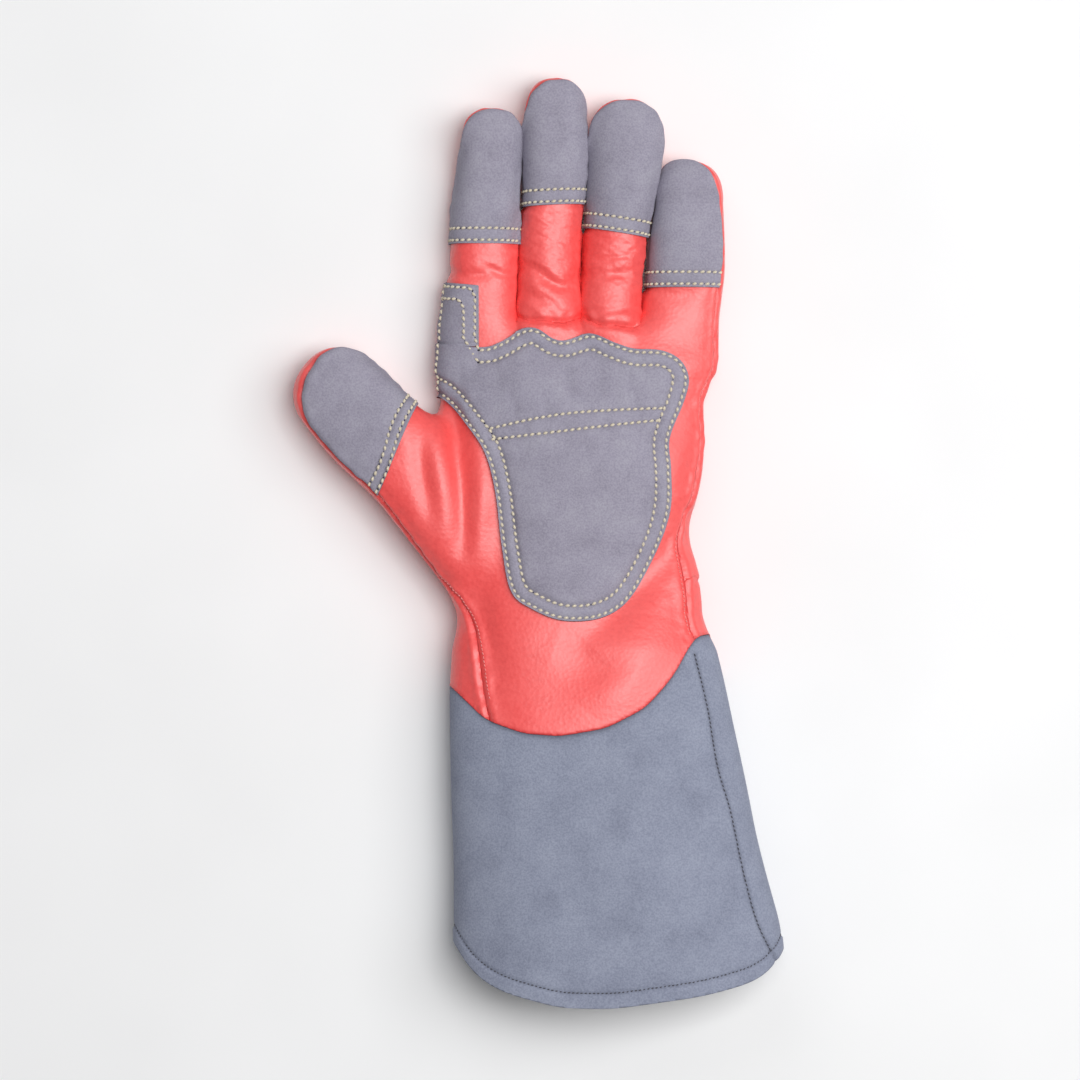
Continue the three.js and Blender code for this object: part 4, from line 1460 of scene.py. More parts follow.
@dataclass
class Shell:
    """A wall of leather or suede: an outer face, an inner face and a rounded rim."""

    outer: Array
    inner: Array
    faces: Array
    rim: Array
    bulge: float = 0.14
    rings: int = 2

    def build(self, name: str, finishes: tuple, painted_shade: Array) -> bpy.types.Object:
        """Join the faces and the rim into one closed mesh.

        Formula: rim ring k lies at middle + half the thickness times cos(turn) + bulge times
        sin(turn), where turn goes from 0 at the outer face to half a turn at the inner one.
        """
        count = len(self.outer)
        a, b = self.rim.T
        ahead = self.outer[b] - self.outer[a]
        through = unit(self.outer - self.inner)
        beyond = np.zeros_like(self.outer)
        side = unit(np.cross(ahead, through[a]))
        np.add.at(beyond, a, side)
        np.add.at(beyond, b, side)
        loop = np.unique(self.rim)
        place = np.full(count, -1)
        place[loop] = np.arange(len(loop))
        out, inn, beyond = self.outer[loop], self.inner[loop], unit(beyond[loop])
        middle, half = (out + inn) / 2, (out - inn) / 2
        points = [self.outer, self.inner]
        steps = [(a, b)]
        for k in range(1, self.rings + 1):
            turn = math.pi * k / (self.rings + 1)
            points.append(middle + half * math.cos(turn) + beyond * self.bulge * math.sin(turn))
            start = 2 * count + (k - 1) * len(loop)
            steps.append((start + place[a], start + place[b]))
        steps.append((count + a, count + b))
        faces = [self.faces, self.faces[:, ::-1] + count]
        for (a0, b0), (a1, b1) in zip(steps[:-1], steps[1:]):
            faces += [np.stack([b0, a0, a1], axis=1), np.stack([b0, a1, b1], axis=1)]
        rims = 2 * len(self.rim) * (self.rings + 1)
        slots = np.concatenate([np.zeros(len(self.faces)), np.ones(len(self.faces)), np.ones(rims)])
        # Painted shade for each point, also on the inner face and the rim.
        values = {"painted_shade": np.concatenate([painted_shade, painted_shade] + [painted_shade[loop]] * self.rings)}
        points, faces = np.concatenate(points), np.concatenate(faces)
        return make_object(name, points, faces, finishes, slots, values)


@dataclass
class Panel:
    """A piece cut from the skin along its seams and given a wall."""

    name: str
    node: str
    slot: str
    finish: Finish
    raw: Finish
    lift: float = 0.0
    wall: float = SIZES.wall
    bulge: float = 0.14

    def region(self, glove: Glove, skin: Surface) -> Surface:
        """The part of the skin that this piece covers."""
        raise NotImplementedError

    def raised(self, glove: Glove, p: Array, f: Fields) -> Array:
        """How far the piece's outer face lies over the skin, besides lift."""
        return np.zeros(len(p))

    def painted_shade(self, glove: Glove, p: Array, f: Fields) -> Array:
        """Painted shade, from 0 to 1, in the side seams' grooves and at the leather's folded lower
        edge.
        """
        return np.clip(0.4 * bell(f.seam / 0.7) + 0.5 * bell((f.border - 0.4) / 0.8), 0, 1)

    def build(self, glove: Glove) -> bpy.types.Object:
        """Cut, fold and thicken the piece, and hide the CAD part that it stands for."""
        surface = self.region(glove, glove.skin).trimmed()
        p = surface.points
        f = glove.fields(p)
        relief = glove.relief(p, f) + self.raised(glove, p, f) + self.lift
        outer = p + f.normal * relief[:, None]
        inner = outer - f.normal * self.wall
        floor = max(0.0, self.lift)
        outer[:, 2] = np.maximum(outer[:, 2], floor)
        inner[:, 2] = np.maximum(inner[:, 2], floor + self.wall)
        shell = Shell(outer, inner, surface.faces, surface.rim(), self.bulge)
        made = shell.build(self.name, (self.finish, self.raw), self.painted_shade(glove, p, f))
        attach(made, BODY)
        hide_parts(self.node)
        self.declare(made)
        log.info("%s: %d faces", self.name, len(made.data.polygons))
        return made

    def declare(self, made: bpy.types.Object) -> None:
        """Does nothing."""


# How far over the side seams the suede ends, and how far over the leather it lies, in millimetres.
PATCH_INSET = 0.35
PATCH_GAP = 0.3


@dataclass
class PalmPanel(Panel):
    """The red panel of the palm, with the fronts of the index and little fingers."""

    def region(self, glove: Glove, skin: Surface) -> Surface:
        """The leather over the side seams, less the two separate finger fronts."""
        skin = skin.cut(glove.border(skin.points))
        skin = skin.cut(glove.seam(skin.points))
        for front in FRONTS:
            skin = skin.cut(-front.inside(glove, skin.points))
        return skin


def refined(glove: Glove, skin: Surface, near: Array) -> Surface:
    """The wanted part of the skin, its faces split in four and settled on the form again."""
    fine = skin.keep(near).finer()
    return Surface(glove.form.settle(fine.points, 2), fine.faces)


def under_side(glove: Glove, skin: Surface) -> Surface:
    """The leather under the side seams."""
    skin = skin.cut(glove.border(skin.points))
    return skin.cut(-glove.seam(skin.points))


@dataclass
class BackPanel(Panel):
    """The red panel of the back of the hand and of the fingers, gathered at its lower edge."""

    def region(self, glove: Glove, skin: Surface) -> Surface:
        """The underside above the gathering seam, beside the thumb's back."""
        skin = under_side(glove, skin)
        skin = skin.cut(glove.above_gathers(skin.points))
        return skin.cut(glove.back_seam(skin.points))


@dataclass
class ThumbBack(Panel):
    """The red panel over the back of the thumb and the hand's thumb side."""

    def region(self, glove: Glove, skin: Surface) -> Surface:
        """The underside above the gathering seam and beyond the seam beside the back panel."""
        skin = under_side(glove, skin.keep(skin.points[:, 0] < 0))
        skin = skin.cut(glove.above_gathers(skin.points))
        return skin.cut(-glove.back_seam(skin.points))


@dataclass
class WristYoke(Panel):
    """The smooth red piece at the wrist that the gathered back is sewn onto."""

    def region(self, glove: Glove, skin: Surface) -> Surface:
        """The underside between the cuff and the gathering seam."""
        skin = under_side(glove, skin.keep(skin.points[:, 1] < 70))
        return skin.cut(-glove.above_gathers(skin.points))


# Across a finger's root seam, in millimetres: the fullness above it, the roll below it, the
# groove along it and the reach of its puckers.
ROOT_SWELL = Bump(1.0, 4.0, 5.0)
ROOT_ROLL = Bump(0.45, 2.6, -3.4)
ROOT_GROOVE = Bump(-1.25, 1.15)
ROOT_PUCKER = Bump(0.3, 3.2, 2.0)


@dataclass
class FingerFront(Panel):
    """The separate red front of the middle or ring finger."""

    finger: Finger = FINGERS[1]
    start: float = 0.0
    slant: float = 0.0

    def inside(self, glove: Glove, p: Array) -> Array:
        """How far points lie inside the front's outline: its root seam and its two sides."""
        s = glove.form.sizes
        along = (p[:, 1] - s.hand_length) / s.fingers_length
        left, right = (s.palm_width * EDGES.read(edge, along, 0.02) for edge in self.finger.edges)
        return np.minimum(self.over_root(glove, p), np.minimum(p[:, 0] - left, right - p[:, 0]))

    def over_root(self, glove: Glove, p: Array) -> Array:
        """How far points lie over the front's root seam, a shallow wavy curve."""
        s = glove.form.sizes
        t = glove.form.finger_section(self.finger, np.full(len(p), s.hand_length + 3.0))
        across = (p[:, 0] - t.x) / t.a
        curve = 1.5 * across**2 + 0.35 * np.sin(5.0 * across + self.start * 90)
        rise = p[:, 1] - s.hand_length - self.start * s.fingers_length
        return rise - self.slant * (p[:, 0] - t.x) - curve

    def swelling(self, glove: Glove, p: Array) -> Array:
        """The fullness on both sides of the root seam, the groove along it and its puckers.

        Formula: two wide bells of the distance from the seam less a narrow one, and waves that
        run across the seam, all within the finger's width.
        """
        out = np.zeros(len(p))
        root = glove.form.sizes.hand_length
        near = np.flatnonzero(np.abs(p[:, 1] - root - 4) < 24)
        q = p[near]
        t = glove.form.finger_section(self.finger, np.full(len(q), root + 3.0))
        away = self.over_root(glove, q)
        window = smooth((1.12 - np.abs((q[:, 0] - t.x) / t.a)) / 0.22)
        full = sum(bump.over(away) for bump in (ROOT_SWELL, ROOT_ROLL, ROOT_GROOVE))
        puckers = np.sin(q[:, 0] * 1.15 + 2.0 * np.sin(q[:, 0] / 5.0))
        folds = puckers * ROOT_PUCKER.over(away)
        out[near] = window * (full + folds)
        return out

    def region(self, glove: Glove, skin: Surface) -> Surface:
        """The finger's palm side above its root seam."""
        skin = refined(glove, skin, self.inside(glove, skin.points) > -3)
        skin = skin.cut(self.inside(glove, skin.points))
        return skin.cut(glove.seam(skin.points))


@dataclass
class Patch(Panel):
    """A grey patch over the tip of a finger or the thumb, sewn by two rows near its edge."""

    rows: tuple[float, float] = (1.3, 6.2)

    def into(self, glove: Glove, p: Array) -> Array:
        """How far points lie inside the patch's lower edge."""
        raise NotImplementedError

    def near(self, glove: Glove, p: Array) -> Array:
        """Which points may belong to the patch."""
        raise NotImplementedError

    def region(self, glove: Glove, skin: Surface) -> Surface:
        """The palm side from the patch's lower edge to the tip."""
        skin = refined(glove, skin, self.near(glove, skin.points))
        skin = skin.cut(self.into(glove, skin.points))
        return skin.cut(glove.seam(skin.points) - PATCH_INSET)

    def raised(self, glove: Glove, p: Array, f: Fields) -> Array:
        """Two sewn channels near the lower edge, and a little fullness beyond them."""
        into = self.into(glove, p)
        low, high = self.rows
        channels = Bump(0.45, 0.7, low).over(into) + Bump(0.45, 0.8, high).over(into)
        return 0.5 * smooth((into - 6) / 8) - channels

    def painted_shade(self, glove: Glove, p: Array, f: Fields) -> Array:
        """Painted shade along the sewn rows' channels."""
        into = self.into(glove, p)
        return sum(Bump(0.35, 0.5, row).over(into) for row in self.rows)


@dataclass
class FingerPatch(Patch):
    """A grey patch over the front of a fingertip."""

    finger: Finger = FINGERS[0]

    def into(self, glove: Glove, p: Array) -> Array:
        """How far points lie over the patch's straight edge, along the glove."""
        return p[:, 1] - glove.patch_base(self.finger, p[:, 0])

    def near(self, glove: Glove, p: Array) -> Array:
        """The points between the finger's two edge lines, above the patch's edge."""
        s = glove.form.sizes
        along = (p[:, 1] - s.hand_length) / s.fingers_length
        left, right = (s.palm_width * EDGES.read(edge, along) for edge in self.finger.edges)
        return (self.into(glove, p) > -3) & (p[:, 0] > left - 0.5) & (p[:, 0] < right + 0.5)


@dataclass
class ThumbPatch(Patch):
    """The grey patch over the front of the thumb."""

    rows: tuple[float, float] = (1.3, 5.2)

    def into(self, glove: Glove, p: Array) -> Array:
        """How far points lie over the patch's slanting edge, along the thumb."""
        return glove.thumb_patch(p)

    def near(self, glove: Glove, p: Array) -> Array:
        """The points on the thumb's side of the hand, above the patch's edge."""
        return (self.into(glove, p) > -3) & (p[:, 0] < -50) & (p[:, 1] < 125)


@dataclass
class PadCloth:
    """The pad's suede as a sheet that a cloth simulation blows up between its sewn rows."""

    step: float = 2.0
    pressure: float = 30.0
    mass: float = 0.05
    spare: float = 0.004
    stiffness: float = 10.0
    bending: float = 3.0
    frames: int = 20
    cap: float = 3.2
    low: tuple[float, float] = (-70.0, 4.0)
    size: tuple[int, int] = (62, 68)
    heights: Array | None = None

    def sheet(self, held: Array, points: Array) -> bpy.types.Object:
        """The flat sheet as a grid of quads, with its sewn points in a group."""
        count = self.size[1]
        start = (np.arange(self.size[0] - 1)[:, None] * count + np.arange(count - 1)).ravel()
        faces = np.stack([start, start + count, start + count + 1, start + 1], axis=1)
        mesh = bpy.data.meshes.new("pad_cloth")
        mesh.from_pydata(points * MM, [], faces.tolist())
        made = bpy.data.objects.new("pad_cloth", mesh)
        bpy.context.scene.collection.objects.link(made)
        made.vertex_groups.new(name="sewn").add(np.flatnonzero(held).tolist(), 1.0, "REPLACE")
        return made

    def run(self, plan: PadPlan) -> None:
        """Blow the sheet up where it isn't sewn down, and keep its heights.

        Formula: the simulated heights h become cap times tanh(h / cap), and each is averaged
        with its four neighbours.

        Args:
            plan: The pad's outline and its rows of stitches.
        """
        axes = [low + self.step * np.arange(count) for low, count in zip(self.low, self.size)]
        x, y = (grid.ravel() for grid in np.meshgrid(*axes, indexing="ij"))
        rows = [line_distance(x, y, row) for row in plan.band()]
        held = within(x, y, plan.outline(plan.inner_row)) < 0.6
        held |= np.minimum(*rows) < 0.7 * self.step
        made = self.sheet(held, np.stack([x, y, 0 * x], axis=1))
        cloth = made.modifiers.new("cloth", "CLOTH")
        settings = cloth.settings
        settings.vertex_group_mass = "sewn"
        settings.use_pressure = True
        settings.uniform_pressure_force = self.pressure
        settings.shrink_min = -self.spare
        settings.mass = self.mass
        settings.tension_stiffness = settings.compression_stiffness = self.stiffness
        settings.shear_stiffness = self.stiffness / 3
        settings.bending_stiffness = self.bending
        settings.effector_weights.gravity = 0.0
        cloth.collision_settings.use_collision = False
        for number in range(1, self.frames + 1):
            bpy.context.scene.frame_set(number)
        done = made.evaluated_get(bpy.context.evaluated_depsgraph_get()).to_mesh()
        places = np.empty(3 * len(done.vertices), dtype=np.float32)
        done.vertices.foreach_get("co", places)
        heights = places.reshape(*self.size, 3)[..., 2] / MM
        bpy.data.objects.remove(made)
        bpy.context.scene.frame_set(1)
        log.info("pad cloth: swells by up to %.1f mm", heights.max())
        capped = self.cap * np.tanh(np.maximum(heights, -0.3) / self.cap)
        padded = np.pad(capped, 1, mode="edge")
        beside = padded[:-2, 1:-1] + padded[2:, 1:-1] + padded[1:-1, :-2] + padded[1:-1, 2:]
        self.heights = 0.6 * capped + 0.1 * beside

    def at(self, x: Array, y: Array) -> Array:
        """The sheet's height at places in plan, read between the grid's points with easing."""
        u = np.clip((x - self.low[0]) / self.step, 0, self.size[0] - 1.001)
        v = np.clip((y - self.low[1]) / self.step, 0, self.size[1] - 1.001)
        i, j = u.astype(int), v.astype(int)
        s, t = u - i, v - j
        h = self.heights
        near = h[i, j] * (1 - t) + h[i, j + 1] * t
        far = h[i + 1, j] * (1 - t) + h[i + 1, j + 1] * t
        return near * (1 - s) + far * s


@dataclass
class PalmPad(Panel):
    """The padded grey patch on the palm, quilted by rows of stitches."""

    cloth: PadCloth = field(default_factory=PadCloth)

    def rows(self, glove: Glove) -> list[Array]:
        """The rows of stitches that hold the pad down: two open rounds, then the band's two."""
        return [*glove.pad.rounds(), *glove.pad.band()]

    def declare(self, made: bpy.types.Object) -> None:
        """Does nothing."""

    def region(self, glove: Glove, skin: Surface) -> Surface:
        """The palm side inside the pad's outline and above the thumb-side seam."""
        outline = glove.pad.outline()
        low, high = outline.min(axis=0) - 3, outline.max(axis=0) + 3
        xy = skin.points[:, :2]
        up = glove.form.slope(skin.points)[:, 2] > -0.5
        skin = refined(glove, skin, (xy > low).all(axis=1) & (xy < high).all(axis=1) & up)
        skin = skin.cut(within(skin.points[:, 0], skin.points[:, 1], outline))
        return skin.cut(glove.seam(skin.points) - PATCH_INSET)

    def raised(self, glove: Glove, p: Array, f: Fields) -> Array:
        """Padding that swells between the rows, less a channel and puckers along each row."""
        x, y, _ = p.T
        edge, inner, *band = (line_distance(x, y, row) for row in self.rows(glove))
        rows = np.minimum(edge, inner)
        field_rows = np.minimum(inner, np.minimum(*band))
        swell = self.cloth.at(x, y) + 0.45 * (1 - bell(rows / 1.8))
        channel = 0.6 * (bell(edge / 0.7) + sum(bell(row / 0.9) for row in (inner, *band)))
        pucker = 0.16 * Waves(6, 23).at(p) * bell(field_rows / 5.0)
        return swell - channel + pucker

    def painted_shade(self, glove: Glove, p: Array, f: Fields) -> Array:
        """Painted shade along the sewn rows' channels."""
        rows = [line_distance(p[:, 0], p[:, 1], row) for row in self.rows(glove)]
        return 0.4 * bell(np.minimum.reduce(rows) / 0.55)


@dataclass
class IndexTab(Panel):
    """The small grey tab over the root of the index finger."""

    def region(self, glove: Glove, skin: Surface) -> Surface:
        """The palm side inside the tab's outline and above the side seam."""
        outline = glove.pad.tab()
        x, y, _ = skin.points.T
        skin = refined(glove, skin, within(x, y, outline) > -2.5)
        skin = skin.cut(within(skin.points[:, 0], skin.points[:, 1], outline))
        return skin.cut(glove.seam(skin.points) - PATCH_INSET)

    def raised(self, glove: Glove, p: Array, f: Fields) -> Array:
        """A sewn channel along the free edges."""
        edge = within(p[:, 0], p[:, 1], glove.pad.tab())
        return -0.4 * bell((edge - 1.2) / 0.7)


@dataclass
class Cuff(Panel):
    """The flaring grey sleeve with its folded hem and its side seam."""

    # Shares of mouth_width and cuff_length.
    side_seam: tuple[tuple[float, float], ...] = (
        (0.352, 0.02),
        (0.392, 0.172),
        (0.42, 0.34),
        (0.465, 0.48),
        (0.53, 0.74),
        (0.595, 0.87),
        (0.63, 0.95),
    )

    def seam_line(self, glove: Glove) -> Array:
        """The side seam as a curve in plan."""
        s = glove.form.sizes
        return spline(np.array(self.side_seam) * (s.mouth_width, -s.cuff_length), 40)

    def region(self, glove: Glove, skin: Surface) -> Surface:
        """The sleeve between the leather's edge and the hem."""
        skin = skin.keep(skin.points[:, 1] < 12)
        skin = skin.cut(-glove.border(skin.points))
        return skin.cut(glove.hem(skin.points))

    def raised(self, glove: Glove, p: Array, f: Fields) -> Array:
        """The hem's fold stands proud, its stitches and the side seam are pressed in."""
        s = glove.form.sizes
        hem = 0.45 * smooth((s.hem_width - f.hem) / 1.5) - 0.5 * bell((f.hem - s.hem_width) / 0.8)
        up = smooth((f.normal[:, 2] + 0.2) / 0.4)
        side = line_distance(p[:, 0], p[:, 1], self.seam_line(glove))
        lap = 0.5 * up * smooth((p[:, 0] - self.beside(glove, p)) / 0.8 + 0.5) * bell(side / 7.0)
        return hem - 0.5 * up * bell(side / 0.9) + lap

    def beside(self, glove: Glove, p: Array) -> Array:
        """Where the side seam lies across the cuff, at each point's place along it."""
        line = self.seam_line(glove)[::-1]
        return np.interp(p[:, 1], line[:, 1], line[:, 0])

    def painted_shade(self, glove: Glove, p: Array, f: Fields) -> Array:
        """Painted shade in the side seam, the hem's row and under the leather's edge."""
        up = smooth((f.normal[:, 2] + 0.2) / 0.4)
        side = line_distance(p[:, 0], p[:, 1], self.seam_line(glove))
        hem = bell((f.hem - glove.form.sizes.hem_width) / 0.6)
        border = 0.55 * bell((f.border + 0.2) / 1.2)
        return np.clip(0.4 * up * bell(side / 0.7) + 0.4 * hem + border, 0, 1)


# The slot, the outer finish and the inner finish of the red and of the grey pieces.
HIDE = ("red_leather", RED, RED_RAW)
SPLIT = ("patch_suede", PATCH, GREY_RAW)
# Where each front's root seam starts, as a share of fingers_length, and how it slants.
MIDDLE_ROOT = {"start": 0.023, "slant": -0.03}
RING_ROOT = {"start": 0.006, "slant": -0.16}
FRONTS = (
    FingerFront("middle_front_leather", "middle_front", *HIDE, finger=FINGERS[1], **MIDDLE_ROOT),
    FingerFront("ring_front_leather", "ring_front", *HIDE, finger=FINGERS[2], **RING_ROOT),
)


@dataclass
class Row:
    """A row of stitches: places on the skin and how far over it the thread lies."""

    points: Array
    normals: Array
    pitch: float = 2.75
    radius: float = 0.62


@dataclass
class Stitching:
    """Short thread stitches with painted-shade domes for needle holes between them, as one mesh.

    A stitch covers the share fill of the pitch and leans by the share lean of it. Seat and bow
    are its middle's height and its ends' drop, as shares of its radius.
    """

    name: str
    thread: Finish
    slot: str
    sides: int = 6
    rings: int = 5
    fill: float = 0.78
    lean: float = -0.07
    bow: float = 0.9
    seat: float = 0.55

    def build(self, rows: list[Row]) -> bpy.types.Object:
        """Lay stitches along the rows.

        Formula: each stitch is a tube round an arc of length fill times the pitch, its radius
        shrinking to 0 at both ends as the root of 1 - t squared, t from -1 to 1 along it.

        Args:
            rows: The rows, each with points and normals along it.

        Returns:
            The stitches as one object.
        """
        centres, ways, normals, sizes = [], [], [], []
        for row in rows:
            run = run_length(row.points)
            count = max(2, round(float(run[-1]) / row.pitch))
            both = np.concatenate([row.points, row.normals], axis=1)
            at = (np.arange(count) + 0.5) * run[-1] / count
            half = 0.5 * row.pitch
            places = np.concatenate([at, at + half, at - half])
            found = np.stack([np.interp(places, run, column) for column in both.T], axis=1)
            here, ahead, behind = np.split(found, 3)
            centres.append(here[:, :3])
            ways.append(unit(ahead[:, :3] - behind[:, :3]))
            normals.append(unit(here[:, 3:]))
            sizes.append(np.tile((row.pitch, row.radius), (count, 1)))
        centre, way, normal, size = (np.concatenate(v) for v in (centres, ways, normals, sizes))
        side = unit(np.cross(way, normal))
        normal = np.cross(side, way)
        t = np.linspace(-1, 1, self.rings)[None, :, None, None]
        turn = np.linspace(0, 2 * math.pi, self.sides, endpoint=False)[None, None, :, None]
        pitch, radius = size[:, None, None, :1], size[:, None, None, 1:]
        shrink = np.sqrt(np.maximum(1 - t**2 * 0.97, 0))
        lift = radius * (self.seat - self.bow * t**2)
        c, w, n, s = (v[:, None, None, :] for v in (centre, way, normal, side))
        lean = self.lean * pitch * t
        points = c + w * t * pitch * self.fill / 2 + n * lift + s * lean
        points = points + radius * shrink * (s * np.cos(turn) + n * np.sin(turn))
        points = points.reshape(-1, 3)
        faces = self.tubes(len(centre))
        holes, hole_faces = self.holes(centre, way, normal, side, size)
        slots = np.concatenate([np.zeros(len(faces)), np.ones(len(hole_faces))])
        faces = np.concatenate([faces, hole_faces + len(points)])
        points = np.concatenate([points, holes])
        made = make_object(self.name, points, faces, (self.thread, HOLE_SHADE), slots, {})
        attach(made, BODY)
        log.info("%s: %d stitches, %d faces", self.name, len(centre), len(faces))
        return made

    def tubes(self, count: int) -> Array:
        """The triangles of the stitches' sides and of their closed ends."""
        k = np.arange(self.sides)
        nxt = (k + 1) % self.sides
        faces = []
        for r in range(self.rings - 1):
            a, b = r * self.sides + k, r * self.sides + nxt
            c, d = a + self.sides, b + self.sides
            faces += [np.stack([a, c, b], 1), np.stack([b, c, d], 1)]
        fan = np.arange(1, self.sides - 1)
        zero = np.zeros_like(fan)
        faces.append(np.stack([zero, fan, fan + 1], 1))
        end = (self.rings - 1) * self.sides
        faces.append(np.stack([zero, fan + 1, fan], 1) + end)
        return self.copies(np.concatenate(faces), count, self.rings * self.sides)

    def holes(
        self, centre: Array, way: Array, normal: Array, side: Array, size: Array
    ) -> tuple[Array, Array]:
        """Small dark domes of painted shade where the needle went in, halfway between stitches."""
        place = centre + way * size[:, :1] / 2
        turn = np.linspace(0, 2 * math.pi, self.sides, endpoint=False)[None, :, None]
        radius = size[:, None, 1:] * 0.95
        oval = side[:, None] * np.cos(turn) + way[:, None] * np.sin(turn) * 0.7
        ring = place[:, None] + radius * oval - normal[:, None] * 0.12
        top = (place + normal * 0.07)[:, None]
        low = (place - normal * 0.3)[:, None]
        points = np.concatenate([ring, top, low], axis=1).reshape(-1, 3)
        k = np.arange(self.sides)
        nxt = (k + 1) % self.sides
        lid, base = np.full_like(k, self.sides), np.full_like(k, self.sides + 1)
        one = np.concatenate([np.stack([nxt, k, lid], 1), np.stack([k, nxt, base], 1)])
        return points, self.copies(one, len(centre), self.sides + 2)

    @staticmethod
    def copies(faces: Array, count: int, points: int) -> Array:
        """The faces of count copies of one shape, each with its own points."""
        return (faces[None] + (np.arange(count) * points)[:, None, None]).reshape(-1, 3)


# The height of a place inside every part of the hand and the cuff, in millimetres.
INSIDE_HEIGHT = 16.0
# Pitch and radius of the finer rows, in millimetres.
SEAM_THREAD = (1.7, 0.24)
HEM_THREAD = (1.7, 0.3)
SIDE_THREAD = (1.9, 0.3)


@dataclass
class Sewing:
    """All the visible rows of stitches."""

    glove: Glove
    pad: PalmPad
    patches: tuple[FingerPatch, ...]
    thumb: ThumbPatch
    tab: IndexTab
    cuff: Cuff
    palm: PalmPanel
    edge_angle: float = 12.0

    def lay(self, panel: Panel, start: Array, way: Array, part: Part | None = None) -> list[Row]:
        """Rows on a piece, where rays from inside the glove leave its skin.

        Args:
            panel: The piece that is sewn.
            start: Points inside the glove.
            way: Directions of the rays.
            part: The part of the glove that the row stays on, or None for any.

        Returns:
            One row for each unbroken stretch above the side seams.
        """
        p = self.glove.form.cast(start, way)
        f = self.glove.fields(p)
        kept = f.seam > 0.2 if not isinstance(panel, Cuff) else np.ones(len(p), bool)
        if part is not None:
            kept &= f.weights[part.value] > 0.45
        over = panel.lift + panel.raised(self.glove, p, f) + self.glove.relief(p, f)
        placed = p + f.normal * over[:, None]
        placed[:, 2] = np.maximum(placed[:, 2], 0.1)
        steps = np.linalg.norm(np.diff(placed, axis=0), axis=1)
        joined = kept[1:] & kept[:-1] & (steps < 6 * np.median(steps) + 1)
        runs = np.split(np.arange(len(p)), np.flatnonzero(~joined) + 1)
        runs = [run for run in runs if len(run) > 1 and path_length(placed[run]) > 3.0]
        return [Row(placed[run], f.normal[run]) for run in runs]

    def up(self, panel: Panel, line: Array) -> list[Row]:
        """Rows on the palm side over a line in plan."""
        start = np.concatenate([line, np.full((len(line), 1), INSIDE_HEIGHT)], axis=1)
        return self.lay(panel, start, np.tile((0.0, 0.0, 1.0), (len(line), 1)))

    def finger_rows(self, patch: FingerPatch) -> list[Row]:
        """The two rows near a finger patch's straight edge."""
        rows = []
        turn = np.radians(np.linspace(215, -35, 80))
        way = np.stack([np.cos(turn), 0 * turn, np.sin(turn)], axis=1)
        base = self.glove.patch_base(patch.finger, np.zeros(1))
        t = self.glove.form.finger_section(patch.finger, base)
        for into in patch.rows:
            y = self.glove.patch_base(patch.finger, t.x + t.a * np.cos(turn)) + into
            start = np.stack([np.full(len(turn), t.x[0]), y, np.full(len(turn), t.z[0])], axis=1)
            rows += self.lay(patch, start, way)
        return rows

    def thumb_rows(self) -> list[Row]:
        """The two rows near the thumb patch's slanting edge.

        Formula: the row's middle is found from a guess, by steps along the thumb as long as what
        is left to the row, and the rays turn round that middle.
        """
        form = self.glove.form
        way, across, _ = form.thumb_axes()
        rows = []
        guess = np.array((-0.68, 0.635)) * (form.sizes.palm_width, form.sizes.hand_length)
        turn = np.radians(np.linspace(215, -50, 110))
        ray = np.stack([across[0] * np.cos(turn), across[1] * np.cos(turn), np.sin(turn)], 1)
        for into in self.thumb.rows:
            centre = guess
            for _ in range(6):
                centre = centre + way * (into - self.glove.thumb_patch(np.array([[*centre, 0.0]])))
            _, u0, t = form.thumb_section(centre[:1], centre[1:])
            centre = centre - across * u0
            u = t.a * np.cos(turn)
            along = THUMB_PATCH_SLANT * u
            x, y = centre[0] + way[0] * along, centre[1] + way[1] * along
            start = np.stack([x, y, np.full(len(turn), t.z[0])], 1)
            rows += self.lay(self.thumb, start, ray, Part.THUMB)
        return rows

    def tab_rows(self) -> list[Row]:
        """The double row along the tab's top and inner side, down onto the pad."""
        plan = self.glove.pad
        _, (right, low), (_, top), _ = plan.tab()
        rows = []
        count, bend, width = 30, 1.5, 22.0
        lean = plan.tab_tilt / plan.tab_width
        for inset, drop, joined in zip((1.6, 6.0), (1.6, 6.6), plan.rounds()):
            xs = np.linspace(right - width, right - inset - bend, count)
            upper = np.stack([xs, top - drop + lean * (right - xs)], axis=1)
            ys = np.linspace(top - drop - bend, low + 2.0, count)
            side = np.stack([np.full(count, right - inset), ys], axis=1)
            line = spline(np.concatenate([upper, side, joined[:1]])[::4], 120)
            rows += self.up(self.tab, line)
        return rows

    def edge_rows(self) -> list[Row]:
        """The double row that goes on down the hand's thumb side, just over the side seam."""
        rows = []
        count, inside, height = 50, -42.0, 13.0
        turn = math.radians(self.edge_angle)
        way = np.tile((-math.cos(turn), 0.0, math.sin(turn)), (count, 1))
        for panel, low, high in ((self.pad, 104.0, 124.0), (self.tab, 124.6, 148.5)):
            y = np.linspace(low, high, count)
            start = np.stack([np.full(count, inside), y, np.full(count, height)], axis=1)
            rows += self.lay(panel, start, way)
        return rows

    def seam_rows(self, panel: Panel) -> list[Row]:
        """Fine rows beside the palm's two side seams, near the wrist.

        Formula: rays from the middle of the sleeve's section, a few degrees over the seams.
        """
        form = self.glove.form
        rows = []
        for side, low, high, turn in (("left", -22.0, 62.0, -3.5), ("right", 4.0, 46.0, 3.5)):
            y = np.linspace(low, high, 120)
            t = form.body_section(y)
            u, w = squircle(getattr(t, side) + turn, t.a, t.b, form.body_power)
            way = unit(np.stack([u, 0 * u, w], axis=1))
            laid = self.lay(panel, np.stack([t.x, y, t.z], axis=1), way)
            rows += [Row(row.points, row.normals, *SEAM_THREAD) for row in laid]
        return [row for row in rows if row.points[0, 1] < 90]

